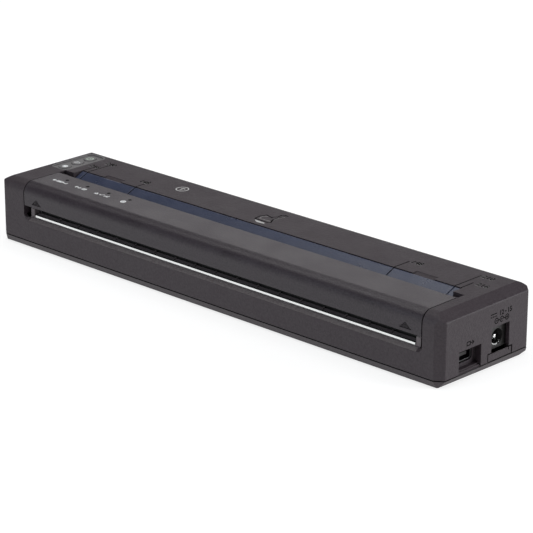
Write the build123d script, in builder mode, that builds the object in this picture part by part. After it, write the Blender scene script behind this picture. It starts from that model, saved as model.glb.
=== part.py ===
from build123d import *
from math import acos, atan2, copysign, cos, degrees, pi, radians, sin, tan
import os

os.makedirs("parts", exist_ok=True)

# A slim portable page printer. X runs along the case, Y from the front (-) to the rear (+), Z up.
# The origin is the middle of the footprint, on the surface that the printer stands on.

# ---------------------------------------------------------------- case
case_length = 255.0
case_depth = 55.0
case_height = 30.0
wall = 1.8
front_corner_along = 3.6    # bevelled vertical corners, smaller at the rear
front_corner_across = 2.8
rear_corner_along = 3.0
rear_corner_across = 2.2
end_bevel_along = 4.6       # bevel along the top of each end
end_bevel_down = 3.0
front_round = 5.0
rear_round = 4.7
edge_softening = 0.7
left_cap_length = 16.25     # the left end cap is wider, because it holds the buttons
right_cap_length = 9.45
foot_height = 0.4
floor_thickness = 1.6
lower_case_height = 2.7
bottom_inset_ends = 2.4     # the lower case draws in towards its underside
bottom_inset_front = 1.2
bottom_flare = 1.4          # it draws in less at the rear of the ends
bottom_corner = 0.5
rear_bevel_depth = 5.5
rear_bevel_height = 1.6
seam_gap = 0.5
seam_depth = 0.8
lip_height = 2.0
lip_thickness = 1.2
lip_clearance = 0.1
boss_radius = 2.4
boss_joint_height = 8.0
boss_inset_along = 6.4
boss_inset_across = 4.6
screw_radius = 1.1
screw_head_radius = 1.9
screw_head_depth = 2.4
screw_head_wall = 0.7
foot_length = 14.0
foot_width = 6.0
foot_recess = 0.5
foot_inset_along = 22.0
foot_front_inset = 7.5
foot_rear_inset = 11.0
foot_clearance = 0.2
foot_chamfer = 0.2
sink = 0.1                  # how far bosses, ribs and walls root in the face that they grow from
past = 1.0                  # how far a cutter stands past the face that it cuts

# ---------------------------------------------------------------- paper path and release cover
cover_gap = 0.5
cover_depth = 20.5
cover_height = 10.3
cover_thickness = 1.7
cover_rib_height = 0.7
cover_rib_width = 1.2
cover_rib_clearance = 1.5
cover_gusset = 1.45
cover_gusset_depth = 4.6
cover_gusset_lift = 0.5
hook_setback = 1.2
hook_width = 2.4
hook_drop = 1.8
hook_nose = 0.8
hinge_setback = 23.0
hinge_drop = 2.7
hinge_pin_radius = 0.9
hinge_pin_length = 4.0
hinge_pin_root = 1.2
hinge_pin_chamfer = 0.15
hinge_boss_radius = 1.6
hinge_arm_width = 2.75
hinge_arm_depth = 5.0
hinge_pocket_gap = 0.3
hinge_wall_drop = 11.8
pocket_wall_drop = 2.6
running_clearance = 0.05
mouth_height = 6.8          # from the cover's lower edge down to the bevelled lip of the paper exit
mouth_bevel = 1.35
mouth_corner = 2.8
throat_length = 5.4         # from the hinge pockets to the front edge of the rear top plate
guide_inset = 5.65
guide_thickness = 1.2
guide_slope = 23.0
guide_ridge_gap = 0.45
guide_ridge_drop = 0.3
guide_slope_reach = 0.5
guide_platen_gap = 1.7
guide_drop_length = 1.2
guide_flange = 4.0
guide_flange_thickness = 1.6
guide_end_gap = 0.5
paper_mark_small = 74.5     # half width of the smaller paper, and the steps down from the widest
paper_mark_step = 3.0
mark_small_length = 9.2
mark_large_length = 16.2
mark_letter_length = 7.7
groove_width = 0.6
groove_depth = 0.4
notch_inset = 13.4          # two shallow finger notches slope down to the plate's front edge
notch_width = 11.2
notch_depth = 2.6
notch_drop = 0.9
notch_step = 0.15
lift_mark_inset = 7.95
lift_mark_width = 6.4
lift_mark_height = 2.8
lift_mark_rise = 1.3
lift_mark_depth = 0.4
lift_mark_ribs = 5
lift_mark_rib_share = 0.45
lens_count = 4
lens_inset = 11.15
lens_pitch = 13.4
lens_setback = 4.8
lens_length = 1.6
lens_width = 1.0
lens_clearance = 0.03
lens_sink = 0.15
light_guide_width = 2.4
light_guide_height = 0.9
light_guide_overhang = 3.0
light_guide_corner = 1.0

# ---------------------------------------------------------------- platen, head and drive
platen_setback = 13.0
platen_drop = 7.8
platen_radius = 4.5
platen_end_gap = 1.3
platen_core_radius = 2.9
journal_radius = 2.0
journal_overhang = 0.6
bush_radius = 3.2
bush_width = 1.5
bush_clearance = 0.02
frame_inset = 4.95          # side frames, from the ends of the release cover
frame_thickness = 1.0
frame_front_reach = 7.3     # reaches are measured from the platen's axis
frame_rear_reach = 10.9
frame_top_reach = 3.4
frame_shoulder = 2.5
frame_nose_drop = 4.0
tab_length = 2.6
tab_width = 7.0
tab_inset = 1.0
chassis_thickness = 1.0
chassis_setback = 2.7
chassis_boss_inset = 11.2
chassis_boss_inner = 34.0
chassis_boss_front = 4.0
chassis_boss_rear = 3.0
lug_slot_gap = 1.0
lug_slot_corner = 0.8
motor_plate_margin = 1.0
gear_module = 0.5
pressure_angle = 20.0
platen_teeth = 20
idler_small_teeth = 18
idler_large_teeth = 36
pinion_teeth = 14
gear_width = 1.6
gear_side_gap = 0.5
gear_lane_gap = 0.3
gear_hub_clearance = 0.3
gear_backlash = 0.08
gear_addendum = 0.45
gear_dedendum = 0.62
centre_slack = 0.05
idler_bearing = -45.0       # direction from the platen to the idler, seen from the right
motor_bearing = -5.7        # direction from the idler to the motor
idler_shaft_radius = 1.2
shaft_root = 0.4
shaft_overhang = 0.2
motor_radius = 7.5
motor_length = 15.0
motor_chamfer = 0.8
motor_shaft_radius = 1.0
motor_shaft_depth = 5.0
motor_pilot_radius = 3.0
motor_pilot_overhang = 0.4
head_front_reach = 7.0
head_rear_reach = 6.3
head_thickness = 2.8
head_platen_gap = 0.3
head_end_gap = 0.6
head_fin_count = 4
head_fin_pitch = 2.4
head_fin_gap = 1.0
head_fin_depth = 1.2
head_pivot_inset = 1.2
head_pivot_rise = 1.9
head_pivot_radius = 1.2
head_lug_width = 2.4
head_lug_radius = 2.2
substrate_thickness = 0.9
substrate_front_inset = 2.0
substrate_rear_inset = 0.7
substrate_end_inset = 0.4
glaze_width = 1.6
glaze_height = 0.1
driver_cover_width = 2.4
driver_cover_height = 1.1
driver_cover_inset = 3.0
driver_cover_chamfer = 0.4
spring_count = 3
spring_pitch = 80.0
spring_width = 8.0
spring_thickness = 0.4
spring_length = 9.0
spring_height = 4.3
spring_foot = 2.4
spring_reach = 4.05
exit_frame_gap = 0.4
exit_lip_depth = 0.4        # the exit frame carries the bevel on from the housing to the tear bar
exit_lip_rise = 0.3
exit_ramp_drop = 0.4
exit_ramp_rise = 0.5
exit_rib_pitch = 12.0
exit_rib_width = 0.8
exit_rib_height = 0.4
tear_bar_end_gap = 0.55
tear_bar_height = 1.15
tear_bar_thickness = 0.5
tear_bar_flange = 1.6
tear_bar_edge = 0.25
cheek_inset = 4.65
cheek_width = 2.3
cheek_gap = 0.3
cheek_bevel = 0.9
cheek_bevel_height = 1.4

# ---------------------------------------------------------------- electronics and connectors
board_rise = 4.9
board_thickness = 1.2
board_left_inset = 3.7      # from the battery's left end
board_end_gap = 5.5
board_frame_gap = 0.6
board_bay_gap = 0.7
board_battery_gap = 2.9
board_port_margin = 6.5
post_radius = 2.0
post_inset = 6.0
post_edge = 3.0
chip_height = 1.0
chips = ((34.0, 6.0, 6.0), (92.0, 9.0, 5.0), (142.0, 5.0, 5.0))    # place along the board, length, width
usb_setback = 17.5
usb_board_gap = 0.1
usb_width = 8.4
usb_height = 4.2
usb_length = 8.0
usb_shell_wall = 0.35
usb_corner = 1.1
usb_leg_width = 0.8
usb_leg_length = 2.0
usb_leg_inset = 1.0
usb_tongue_side_gap = 1.6
usb_tongue_height = 1.3
usb_tongue_rise = 0.2
usb_tongue_setback = 0.8
usb_surround = 0.8
usb_recess_width = 13.4
usb_recess_drop = 4.4
usb_recess_rise = 3.7
usb_recess_depth = 3.2
usb_sill_step = 0.6
recess_wall = 1.3
connector_pitch = 18.4
jack_rise = 4.5
jack_hole_shift = 0.8       # the hole sits towards the rear of its opening
jack_hole_radius = 3.45
jack_pin_radius = 1.0
jack_pin_rounding = 0.6
jack_face_depth = 2.4
jack_length = 13.0
jack_bore_depth = 10.0
jack_pin_setback = 0.9
jack_opening_width = 10.9
jack_opening_drop = 4.4
jack_opening_rise = 5.8
jack_border = 0.7
contact_length = 4.6
contact_thickness = 0.5
contact_setback = 0.6
contact_end_gap = 2.0
sill_width = 14.2
sill_gap = 0.6
sill_drop = 0.5
sill_trough_width = 1.8     # an open trough behind the sill's front edge
sill_trough_depth = 1.8
sill_slot_width = 0.5
sill_slot_height = 1.2
sill_slot_inset = 1.6
sensor_offset = 40.0
sensor_size = 4.0
sensor_height = 6.0
sensor_inset = 0.2
sensor_chamfer = 0.6
switch_gap = 0.45

# ---------------------------------------------------------------- buttons
panel_inset = 11.3
panel_setback = 17.6
panel_width = 11.2
panel_length = 25.6
panel_corner = 3.0
panel_depth = 1.0
panel_dish = 0.4
panel_rim = 0.8
panel_clearance = 0.05
finger_dish = 0.45          # the panel slopes down to each button
button_pitch = 7.6
button_shift = 0.7          # the row sits a little forward of the panel's middle
button_width = 5.2
button_length = 5.8
button_gap = 0.2
button_flange = 0.4
button_flange_height = 0.7
button_flange_gap = 0.2
button_stem_radius = 1.3
button_stem_length = 2.3
button_sink = 0.1
button_dome = 0.3
switch_radius = 1.7
switch_height = 0.8
switch_board_thickness = 1.0
switch_board_width = 7.4
switch_board_length = 21.6
switch_board_edge = 0.8
switch_boss_radius = 1.4
switch_boss_offset = 4.2

# ---------------------------------------------------------------- battery pack
battery_setback = 34.5
battery_motor_gap = 3.1
battery_right_inset = 19.8
battery_rise = 2.0
battery_drop = 7.2
battery_gap = 0.3
battery_round = 3.0
battery_top_step = 0.6
battery_flange_inset = 1.0
battery_panel_thickness = 1.6
battery_panel_corner = 0.8
grip_width = 36.0
grip_height = 7.0
grip_depth = 0.8
grip_corner = 2.0
grip_ribs = 4
grip_rib_width = 0.7
grip_rib_inset = 2.5
grip_rib_share = 0.7
bay_wall = 1.0
rail_width = 3.0
rail_count = 5
rail_end_gap = 2.0
rail_clearance = 0.1
terminal_count = 4
terminal_pitch = 3.2
terminal_inset = 15.7
terminal_rise = 3.6
terminal_slot_width = 1.8
terminal_slot_height = 5.0
terminal_slot_depth = 2.0
terminal_window_height = 7.0
terminal_block_depth = 2.6
terminal_block_rise = 3.0
terminal_blade_width = 0.5
terminal_blade_height = 3.6
terminal_blade_reach = 1.4

# ---------------------------------------------------------------- positions along the case
half_length = case_length / 2
front_corner = (front_corner_along, front_corner_across)
rear_corner = (rear_corner_along, rear_corner_across)
base_corner = (bottom_corner, bottom_corner)
paper_centre = (left_cap_length - right_cap_length) / 2
opening_half = (case_length - left_cap_length - right_cap_length) / 2
cover_half = opening_half - cover_gap
pocket_inner = cover_half - guide_inset + guide_end_gap
guide_half = cover_half - guide_inset
paper_mark_large = guide_half - paper_mark_step
frame_inner = cover_half - frame_inset
frame_outer = frame_inner + frame_thickness
cheek_inner = opening_half - cheek_inset
gear_lane = frame_outer + gear_side_gap
drive_lane = gear_lane + gear_width + gear_lane_gap
head_half = frame_inner - head_end_gap
jack_face = half_length - jack_face_depth
recess_floor = half_length - usb_recess_depth
panel_x = panel_inset - half_length
battery_left = paper_centre - frame_inner + motor_length + battery_motor_gap
battery_right = half_length - battery_right_inset
battery_middle = (battery_left + battery_right) / 2
battery_length = battery_right - battery_left
terminal_x = battery_right - terminal_inset
board_left = battery_left + board_left_inset
board_right = half_length - board_end_gap
board_port_left = paper_centre + frame_outer + board_frame_gap
board_jack_left = battery_right + board_battery_gap

# ---------------------------------------------------------------- positions from front to rear
front_y = -case_depth / 2
rear_y = case_depth / 2
lip_inset = wall + lip_clearance
exit_front = front_y + wall
tear_front = exit_front + exit_lip_depth
chassis_front = front_y + chassis_setback
platen_y = front_y + platen_setback
cover_rear = front_y + cover_depth
hinge_y = front_y + hinge_setback
hinge_pocket_rear = hinge_y + hinge_boss_radius + hinge_pocket_gap
plate_front = hinge_pocket_rear + throat_length
frame_front = platen_y - frame_front_reach
frame_rear = platen_y + frame_rear_reach
exit_frame_rear = frame_front - exit_frame_gap
head_front = platen_y - head_front_reach
head_rear = platen_y + head_rear_reach
head_pivot_y = head_rear - head_pivot_inset
substrate_front = head_front + substrate_front_inset
substrate_rear = head_rear - substrate_rear_inset
battery_front = front_y + battery_setback
bay_front = battery_front - battery_gap
bay_rear = rear_y - lip_inset - lip_thickness - lip_clearance
usb_y = front_y + usb_setback
jack_y = usb_y + connector_pitch
jack_hole_y = jack_y + jack_hole_shift
panel_y = rear_y - panel_setback
button_y = panel_y - button_shift
board_front = frame_rear + board_frame_gap
board_rear = bay_front - bay_wall - board_bay_gap
board_middle = (board_front + board_rear) / 2
board_port_front = usb_y - board_port_margin
board_jack_rear = jack_y + jack_opening_width / 2 + jack_border

# ---------------------------------------------------------------- heights
seam_bottom = foot_height + lower_case_height
seam_top = seam_bottom + seam_gap
floor_top = foot_height + floor_thickness
plate_bottom = case_height - wall
cover_inside = case_height - cover_thickness
cover_bottom = case_height - cover_height
mouth_bottom = cover_bottom - mouth_height
mouth_sill = mouth_bottom + mouth_bevel
tear_base = mouth_sill + exit_lip_rise
hinge_z = case_height - hinge_drop
platen_z = case_height - platen_drop
frame_top = platen_z + frame_top_reach
head_top = platen_z - platen_radius - head_platen_gap - glaze_height - substrate_thickness
head_bottom = head_top - head_thickness
board_top = floor_top + board_rise
chassis_top = head_bottom - spring_height
chassis_bottom = chassis_top - chassis_thickness
head_pivot_z = chassis_top + head_pivot_rise
usb_z = board_top + usb_board_gap + usb_height / 2
usb_recess_bottom = usb_z - usb_recess_drop
usb_recess_top = usb_z + usb_recess_rise
jack_z = board_top + jack_rise
jack_opening_bottom = jack_z - jack_opening_drop
jack_opening_top = jack_z + jack_opening_rise
sill_top = jack_opening_bottom - sill_drop
battery_bottom = floor_top + battery_rise
battery_top = case_height - battery_drop
bay_roof = battery_top + battery_gap
terminal_z = board_top + terminal_rise
button_bottom = plate_bottom - button_flange_height - button_flange_gap - button_stem_length
switch_board_top = button_bottom - switch_gap - switch_height
sides = {"left": -1, "right": 1}


def polar(y, z, distance, bearing):
    """The point at a distance and bearing from (y, z), in the YZ plane."""
    return y + distance * cos(radians(bearing)), z + distance * sin(radians(bearing))


def centre_distance(first_teeth, second_teeth):
    return gear_module * (first_teeth + second_teeth) / 2 + centre_slack


idler_y, idler_z = polar(platen_y, platen_z, centre_distance(platen_teeth, idler_small_teeth), idler_bearing)
motor_y, motor_z = polar(idler_y, idler_z, centre_distance(idler_large_teeth, pinion_teeth), motor_bearing)


# ---------------------------------------------------------------- shared outlines
def plan_points(length_inset, depth_inset, front_corner, rear_corner):
    """Eight corners of the plan outline; each bevel is given by its lengths along and across the case."""
    x = half_length - length_inset
    y = rear_y - depth_inset
    (front_along, front_across), (rear_along, rear_across) = front_corner, rear_corner
    return [
        (x - front_along, -y), (x, -y + front_across), (x, y - rear_across), (x - rear_along, y),
        (-x + rear_along, y), (-x, y - rear_across), (-x, -y + front_across), (-x + front_along, -y),
    ]


def plan_outline(inset, softening=0.0):
    with BuildSketch() as outline:
        with BuildLine():
            Polyline(*plan_points(inset, inset, front_corner, rear_corner), close=True)
        make_face()
        if softening:
            fillet(outline.vertices(), softening)
    return outline.sketch


def depth_profile(inset):
    """Section of the case across its length, as (y, z), with the rounded top edges."""
    half = rear_y - inset
    top = case_height - inset
    with BuildSketch() as profile:
        with BuildLine():
            Polyline((-half, 0), (half, 0), (half, top), (-half, top), close=True)
        make_face()
        fillet(profile.vertices().group_by(Axis.Y)[-1].sort_by(Axis.X)[-1], rear_round - inset)
        fillet(profile.vertices().group_by(Axis.Y)[-1].sort_by(Axis.X)[0], front_round - inset)
    return profile.sketch


def length_profile(inset):
    """Section of the case along its length, as (x, z), with the bevels at its two ends."""
    half = half_length - inset
    top = case_height - inset
    with BuildSketch() as profile:
        with BuildLine():
            Polyline(
                (-half, 0), (half, 0), (half, top - end_bevel_down), (half - end_bevel_along, top),
                (-half + end_bevel_along, top), (-half, top - end_bevel_down), close=True,
            )
        make_face()
    return profile.sketch


def slab_plane(side, start, thickness):
    """YZ plane under a slab whose near face is `start` from the middle of the paper."""
    low = start if side > 0 else -start - thickness
    return Plane.YZ.offset(paper_centre + low)


def gear_outline(teeth, phase):
    """Involute spur gear outline with a tooth centred on the bearing `phase`, in degrees."""
    pitch_radius = gear_module * teeth / 2
    base_radius = pitch_radius * cos(radians(pressure_angle))
    root_radius = pitch_radius - gear_dedendum
    tip_radius = pitch_radius + gear_addendum
    involute_start = tan(radians(pressure_angle)) - radians(pressure_angle)
    half_tooth = pi / 2 / teeth - gear_backlash / 2 / pitch_radius

    def flank(radius):
        roll = acos(min(1.0, base_radius / radius))
        return half_tooth + involute_start - (tan(roll) - roll)

    levels = [root_radius, max(root_radius + 0.01, base_radius), pitch_radius, tip_radius]
    points = []
    for tooth in range(teeth):
        middle = radians(phase) + 2 * pi * tooth / teeth
        rising = [(r, middle - flank(r)) for r in levels]
        falling = [(r, middle + flank(r)) for r in reversed(levels)]
        points += [(r * cos(a), r * sin(a)) for r, a in rising + falling]
    with BuildSketch() as outline:
        with BuildLine():
            Polyline(*points, close=True)
        make_face()
    return outline.sketch


def save(piece, name):
    piece.part.label = name
    export_step(piece.part, f"parts/{name}.step")


# ---------------------------------------------------------------- places that several pieces share
boss_places = [
    (x * (half_length - boss_inset_along), y * (rear_y - boss_inset_across))
    for x in (-1, 1) for y in (-1, 1)
]
chassis_boss_places = [
    (paper_centre + x * spacing, y)
    for y in (chassis_front + chassis_boss_front, frame_rear - chassis_boss_rear)
    for x in (-1, 1) for spacing in (frame_inner - chassis_boss_inset, chassis_boss_inner)
]
board_post_places = [
    (board_left + post_inset, board_middle), (paper_centre, board_middle), (terminal_x, board_middle),
    (board_right - post_inset, board_port_front + post_edge), (board_right - post_inset, board_jack_rear - post_edge),
]
foot_places = [
    (x * (half_length - foot_inset_along), y)
    for x in (-1, 1) for y in (front_y + foot_front_inset, rear_y - foot_rear_inset)
]
button_places = [(panel_x, button_y + step * button_pitch) for step in (-1, 0, 1)]
switch_boss_places = [(panel_x - switch_boss_offset, button_y + step * button_pitch / 2) for step in (-1, 1)]
lens_places = [
    (paper_centre - cover_half + lens_inset + step * lens_pitch, cover_rear - lens_setback)
    for step in range(lens_count)
]

# ---------------------------------------------------------------- upper housing
with BuildPart() as cavity:
    with BuildSketch(Plane.XY.offset(seam_bottom)):
        add(plan_outline(wall))
    extrude(amount=plate_bottom - seam_bottom)
    with BuildSketch(Plane.YZ):
        add(depth_profile(wall))
    extrude(amount=half_length, both=True, mode=Mode.INTERSECT)
    with BuildSketch(Plane.XZ):
        add(length_profile(wall))
    extrude(amount=rear_y, both=True, mode=Mode.INTERSECT)

with BuildPart() as upper_housing:
    with BuildSketch(Plane.XY.offset(seam_top)):
        add(plan_outline(0, edge_softening))
    extrude(amount=case_height - seam_top)
    with BuildSketch(Plane.YZ):
        add(depth_profile(0))
    extrude(amount=half_length, both=True, mode=Mode.INTERSECT)
    with BuildSketch(Plane.XZ):
        add(length_profile(0))
    extrude(amount=rear_y, both=True, mode=Mode.INTERSECT)
    bevel_edges = upper_housing.edges().filter_by(Axis.Y).filter_by(
        lambda e: e.center().Z > case_height - end_bevel_down - sink
        and abs(e.center().X) > half_length - end_bevel_along - sink)
    fillet(bevel_edges, edge_softening)
    add(cavity.part, mode=Mode.SUBTRACT)

    # walls beside the release cover, and behind its two hinge pockets
    for side in sides.values():
        with BuildSketch(slab_plane(side, opening_half, wall)):
            add(depth_profile(wall / 2))
            with Locations((front_y, hinge_z - hinge_wall_drop)):
                Rectangle(hinge_pocket_rear + wall - front_y, case_height, align=(Align.MIN, Align.MIN),
                          mode=Mode.INTERSECT)
        extrude(amount=wall)
        with BuildSketch(slab_plane(side, pocket_inner, opening_half + wall - pocket_inner)):
            with Locations((hinge_pocket_rear, hinge_z - pocket_wall_drop)):
                Rectangle(wall, plate_bottom + sink - hinge_z + pocket_wall_drop, align=(Align.MIN, Align.MIN))
        extrude(amount=opening_half + wall - pocket_inner)

    # screw bosses and the bosses that carry the switch board
    with BuildSketch(Plane.XY.offset(boss_joint_height)):
        with Locations(*boss_places):
            Circle(boss_radius)
    extrude(amount=plate_bottom + sink - boss_joint_height)
    with BuildSketch(Plane.XY.offset(boss_joint_height)):
        with Locations(*boss_places):
            Circle(screw_radius)
    extrude(amount=boss_joint_height, mode=Mode.SUBTRACT)
    with BuildSketch(Plane.XY.offset(switch_board_top)):
        with Locations(*switch_boss_places):
            Circle(switch_boss_radius)
    extrude(amount=plate_bottom + sink - switch_board_top)

    # opening for the cover and the paper guide, with the bevelled lower edge of the paper exit
    with BuildSketch(Plane.ZX.offset(front_y - past)) as cover_opening:
        with Locations((mouth_sill, paper_centre)):
            Rectangle(case_height, 2 * opening_half, align=(Align.MIN, Align.CENTER))
        fillet(cover_opening.vertices().group_by(Axis.X)[0], mouth_corner - mouth_bevel)
    extrude(amount=hinge_pocket_rear - front_y + past, mode=Mode.SUBTRACT)
    with BuildSketch(Plane.ZX.offset(front_y)):
        with Locations(((mouth_bottom + cover_bottom) / 2, paper_centre)):
            RectangleRounded(cover_bottom - mouth_bottom, 2 * opening_half, mouth_corner)
    extrude(amount=wall, taper=degrees(atan2(mouth_bevel, wall)), mode=Mode.SUBTRACT)
    with BuildSketch(Plane.XY.offset(plate_bottom - past)):
        with Locations((paper_centre, hinge_pocket_rear - sink)):
            Rectangle(2 * pocket_inner, plate_front - hinge_pocket_rear + sink, align=(Align.CENTER, Align.MIN))
    extrude(amount=wall + 2 * past, mode=Mode.SUBTRACT)

    # finger notches and engraved paper width marks in the top plate
    for side in sides.values():
        with BuildSketch(slab_plane(side, guide_half - notch_inset - notch_width, notch_width)):
            with BuildLine():
                Polyline(
                    (plate_front - past, case_height - notch_drop), (plate_front, case_height - notch_drop),
                    (plate_front + notch_depth, case_height - notch_step),
                    (plate_front + notch_depth, case_height + past), (plate_front - past, case_height + past),
                    close=True,
                )
            make_face()
        extrude(amount=notch_width, mode=Mode.SUBTRACT)
    with BuildSketch(Plane.XY.offset(case_height)):
        for side in sides.values():
            for mark, length in (
                (paper_mark_small, mark_small_length),
                (paper_mark_large, mark_large_length),
                (guide_half, mark_letter_length),
            ):
                with Locations((paper_centre + side * mark, plate_front - past)):
                    Rectangle(groove_width, length + past, align=(Align.CENTER, Align.MIN))
    extrude(amount=-groove_depth, mode=Mode.SUBTRACT)

    # pocket for the button panel, and the button holes through the plate
    with BuildSketch(Plane.XY.offset(case_height)):
        with Locations((panel_x, panel_y)):
            RectangleRounded(panel_width, panel_length, panel_corner)
    extrude(amount=-panel_depth, mode=Mode.SUBTRACT)
    with BuildSketch(Plane.XY.offset(plate_bottom - past)):
        with Locations(*button_places):
            Ellipse(button_width / 2 + button_gap, button_length / 2 + button_gap)
    extrude(amount=wall + 2 * past, mode=Mode.SUBTRACT)

    # boxed recess for the data port, with its stepped sill, in the right end
    with BuildSketch(Plane.YZ.offset(recess_floor - recess_wall)):
        with Locations((usb_y, seam_top)):
            Rectangle(usb_recess_width + 2 * recess_wall, usb_recess_top + recess_wall - seam_top,
                      align=(Align.CENTER, Align.MIN))
    extrude(amount=usb_recess_depth + recess_wall - wall / 2)
    with BuildSketch(Plane.YZ.offset(recess_floor)):
        with Locations((usb_y, usb_recess_bottom)):
            Rectangle(usb_recess_width, usb_recess_top - usb_recess_bottom, align=(Align.CENTER, Align.MIN))
    extrude(amount=usb_recess_depth + past, mode=Mode.SUBTRACT)
    for step in (1, 2):
        with BuildSketch(Plane.YZ.offset(half_length - step * usb_sill_step)):
            with Locations((usb_y, usb_recess_bottom)):
                Rectangle(usb_recess_width, (usb_recess_bottom - seam_top) * (3 - step) / 2,
                          align=(Align.CENTER, Align.MAX))
        extrude(amount=step * usb_sill_step + past, mode=Mode.SUBTRACT)
    with BuildSketch(Plane.YZ.offset(recess_floor - recess_wall - past)):
        with Locations((usb_y, usb_z)):
            RectangleRounded(usb_width + 2 * usb_surround, usb_height + 2 * usb_surround,
                             usb_corner + usb_surround)
    extrude(amount=recess_wall + 2 * past, mode=Mode.SUBTRACT)

    # opening in front of the power jack, and the slot for the sill under it
    with BuildSketch(Plane.YZ.offset(half_length - wall - past)):
        with Locations((jack_y, jack_opening_bottom)):
            Rectangle(jack_opening_width, jack_opening_top - jack_opening_bottom, align=(Align.CENTER, Align.MIN))
        with Locations((jack_y, seam_top - past)):
            Rectangle(sill_width + 2 * sill_gap, sill_top + sill_gap - seam_top + past,
                      align=(Align.CENTER, Align.MIN))
    extrude(amount=wall + 2 * past, mode=Mode.SUBTRACT)

    # rear bay for the battery pack, and the bores for the hinge pins
    with BuildSketch(Plane.ZX.offset(rear_y - wall - past)):
        with Locations((seam_top - past, battery_middle)):
            Rectangle(bay_roof - seam_top + past, battery_length + 2 * battery_gap,
                      align=(Align.MIN, Align.CENTER))
    extrude(amount=wall + 2 * past, mode=Mode.SUBTRACT)
    for side in sides.values():
        with BuildSketch(slab_plane(side, opening_half - past, hinge_pin_root + past)):
            with Locations((hinge_y, hinge_z)):
                Circle(hinge_pin_radius)
        extrude(amount=hinge_pin_root + past, mode=Mode.SUBTRACT)
save(upper_housing, "upper_housing")

# ---------------------------------------------------------------- lower case
with BuildPart() as lower_case:
    with BuildSketch(Plane.XY.offset(foot_height)):
        with BuildLine():
            base_points = plan_points(bottom_inset_ends, bottom_inset_front, base_corner, base_corner)
            Polyline(*[(x + copysign(bottom_flare, x) if y > 0 else x, y) for x, y in base_points], close=True)
        make_face()
    with BuildSketch(Plane.XY.offset(seam_bottom)):
        with BuildLine():
            Polyline(*plan_points(0, 0, front_corner, rear_corner), close=True)
        make_face()
    loft(ruled=True)
    with BuildSketch(Plane.YZ):
        with BuildLine():
            Polyline(
                (rear_y + past, foot_height), (rear_y - rear_bevel_depth, foot_height),
                (rear_y, foot_height + rear_bevel_height), (rear_y + past, foot_height + rear_bevel_height),
                close=True,
            )
        make_face()
    extrude(amount=half_length, both=True, mode=Mode.SUBTRACT)
    with BuildSketch(Plane.XY.offset(seam_bottom)):
        add(plan_outline(seam_depth))
    extrude(amount=seam_gap)
    with BuildSketch(Plane.XY.offset(seam_top)):
        add(plan_outline(lip_inset))
    extrude(amount=lip_height)
    with BuildSketch(Plane.XY.offset(floor_top)):
        add(plan_outline(lip_inset + lip_thickness))
    extrude(amount=seam_top + lip_height - floor_top, mode=Mode.SUBTRACT)

    # the lip stops at the battery bay and at the connectors
    with BuildSketch(Plane.XY.offset(seam_top)):
        lip_cut = 2 * (lip_inset + lip_thickness + past)
        with Locations((battery_middle, rear_y)):
            Rectangle(battery_length + 2 * battery_gap, lip_cut)
        with Locations((half_length, usb_y - usb_recess_width / 2 - recess_wall - lip_clearance)):
            Rectangle(lip_cut, connector_pitch + (usb_recess_width + sill_width) / 2 + recess_wall + past,
                      align=(Align.CENTER, Align.MIN))
    extrude(amount=lip_height + past, mode=Mode.SUBTRACT)

    # screw bosses, chassis bosses, board posts and battery rails
    with BuildSketch(Plane.XY.offset(floor_top - sink)):
        with Locations(*boss_places):
            Circle(screw_head_radius + screw_head_wall)
    extrude(amount=boss_joint_height - floor_top + sink)
    with BuildSketch(Plane.XY.offset(floor_top - sink)):
        with Locations(*chassis_boss_places):
            Circle(boss_radius)
    extrude(amount=chassis_bottom - floor_top + sink)
    with BuildSketch(Plane.XY.offset(floor_top - sink)):
        with Locations(*board_post_places):
            Circle(post_radius)
    extrude(amount=board_top - board_thickness - floor_top + sink)
    with BuildSketch(Plane.XY.offset(floor_top - sink)):
        rail_pitch = (battery_length - 2 * rail_width) / (rail_count - 1)
        with Locations((battery_middle, (battery_front + rear_y - wall) / 2)):
            with GridLocations(rail_pitch, 1, rail_count, 1):
                Rectangle(rail_width, rear_y - wall - battery_front - 2 * rail_end_gap)
    extrude(amount=battery_bottom - rail_clearance - floor_top + sink)
    with BuildSketch(Plane.XY.offset(foot_height)):
        with Locations(*boss_places):
            Circle(screw_radius)
    extrude(amount=boss_joint_height, mode=Mode.SUBTRACT)
    with BuildSketch(Plane.XY.offset(foot_height)):
        with Locations(*boss_places):
            Circle(screw_head_radius)
    extrude(amount=screw_head_depth, mode=Mode.SUBTRACT)

    # recesses for the feet
    with BuildSketch(Plane.XY.offset(foot_height)):
        with Locations(*foot_places):
            SlotOverall(foot_length, foot_width)
    extrude(amount=foot_recess, mode=Mode.SUBTRACT)
save(lower_case, "lower_case")

with BuildPart() as rubber_feet:
    with BuildSketch():
        with Locations(*foot_places):
            SlotOverall(foot_length - 2 * foot_clearance, foot_width - 2 * foot_clearance)
    extrude(amount=foot_height + foot_recess)
    chamfer(rubber_feet.edges().group_by(Axis.Z)[0], foot_chamfer)
save(rubber_feet, "rubber_feet")

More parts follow.
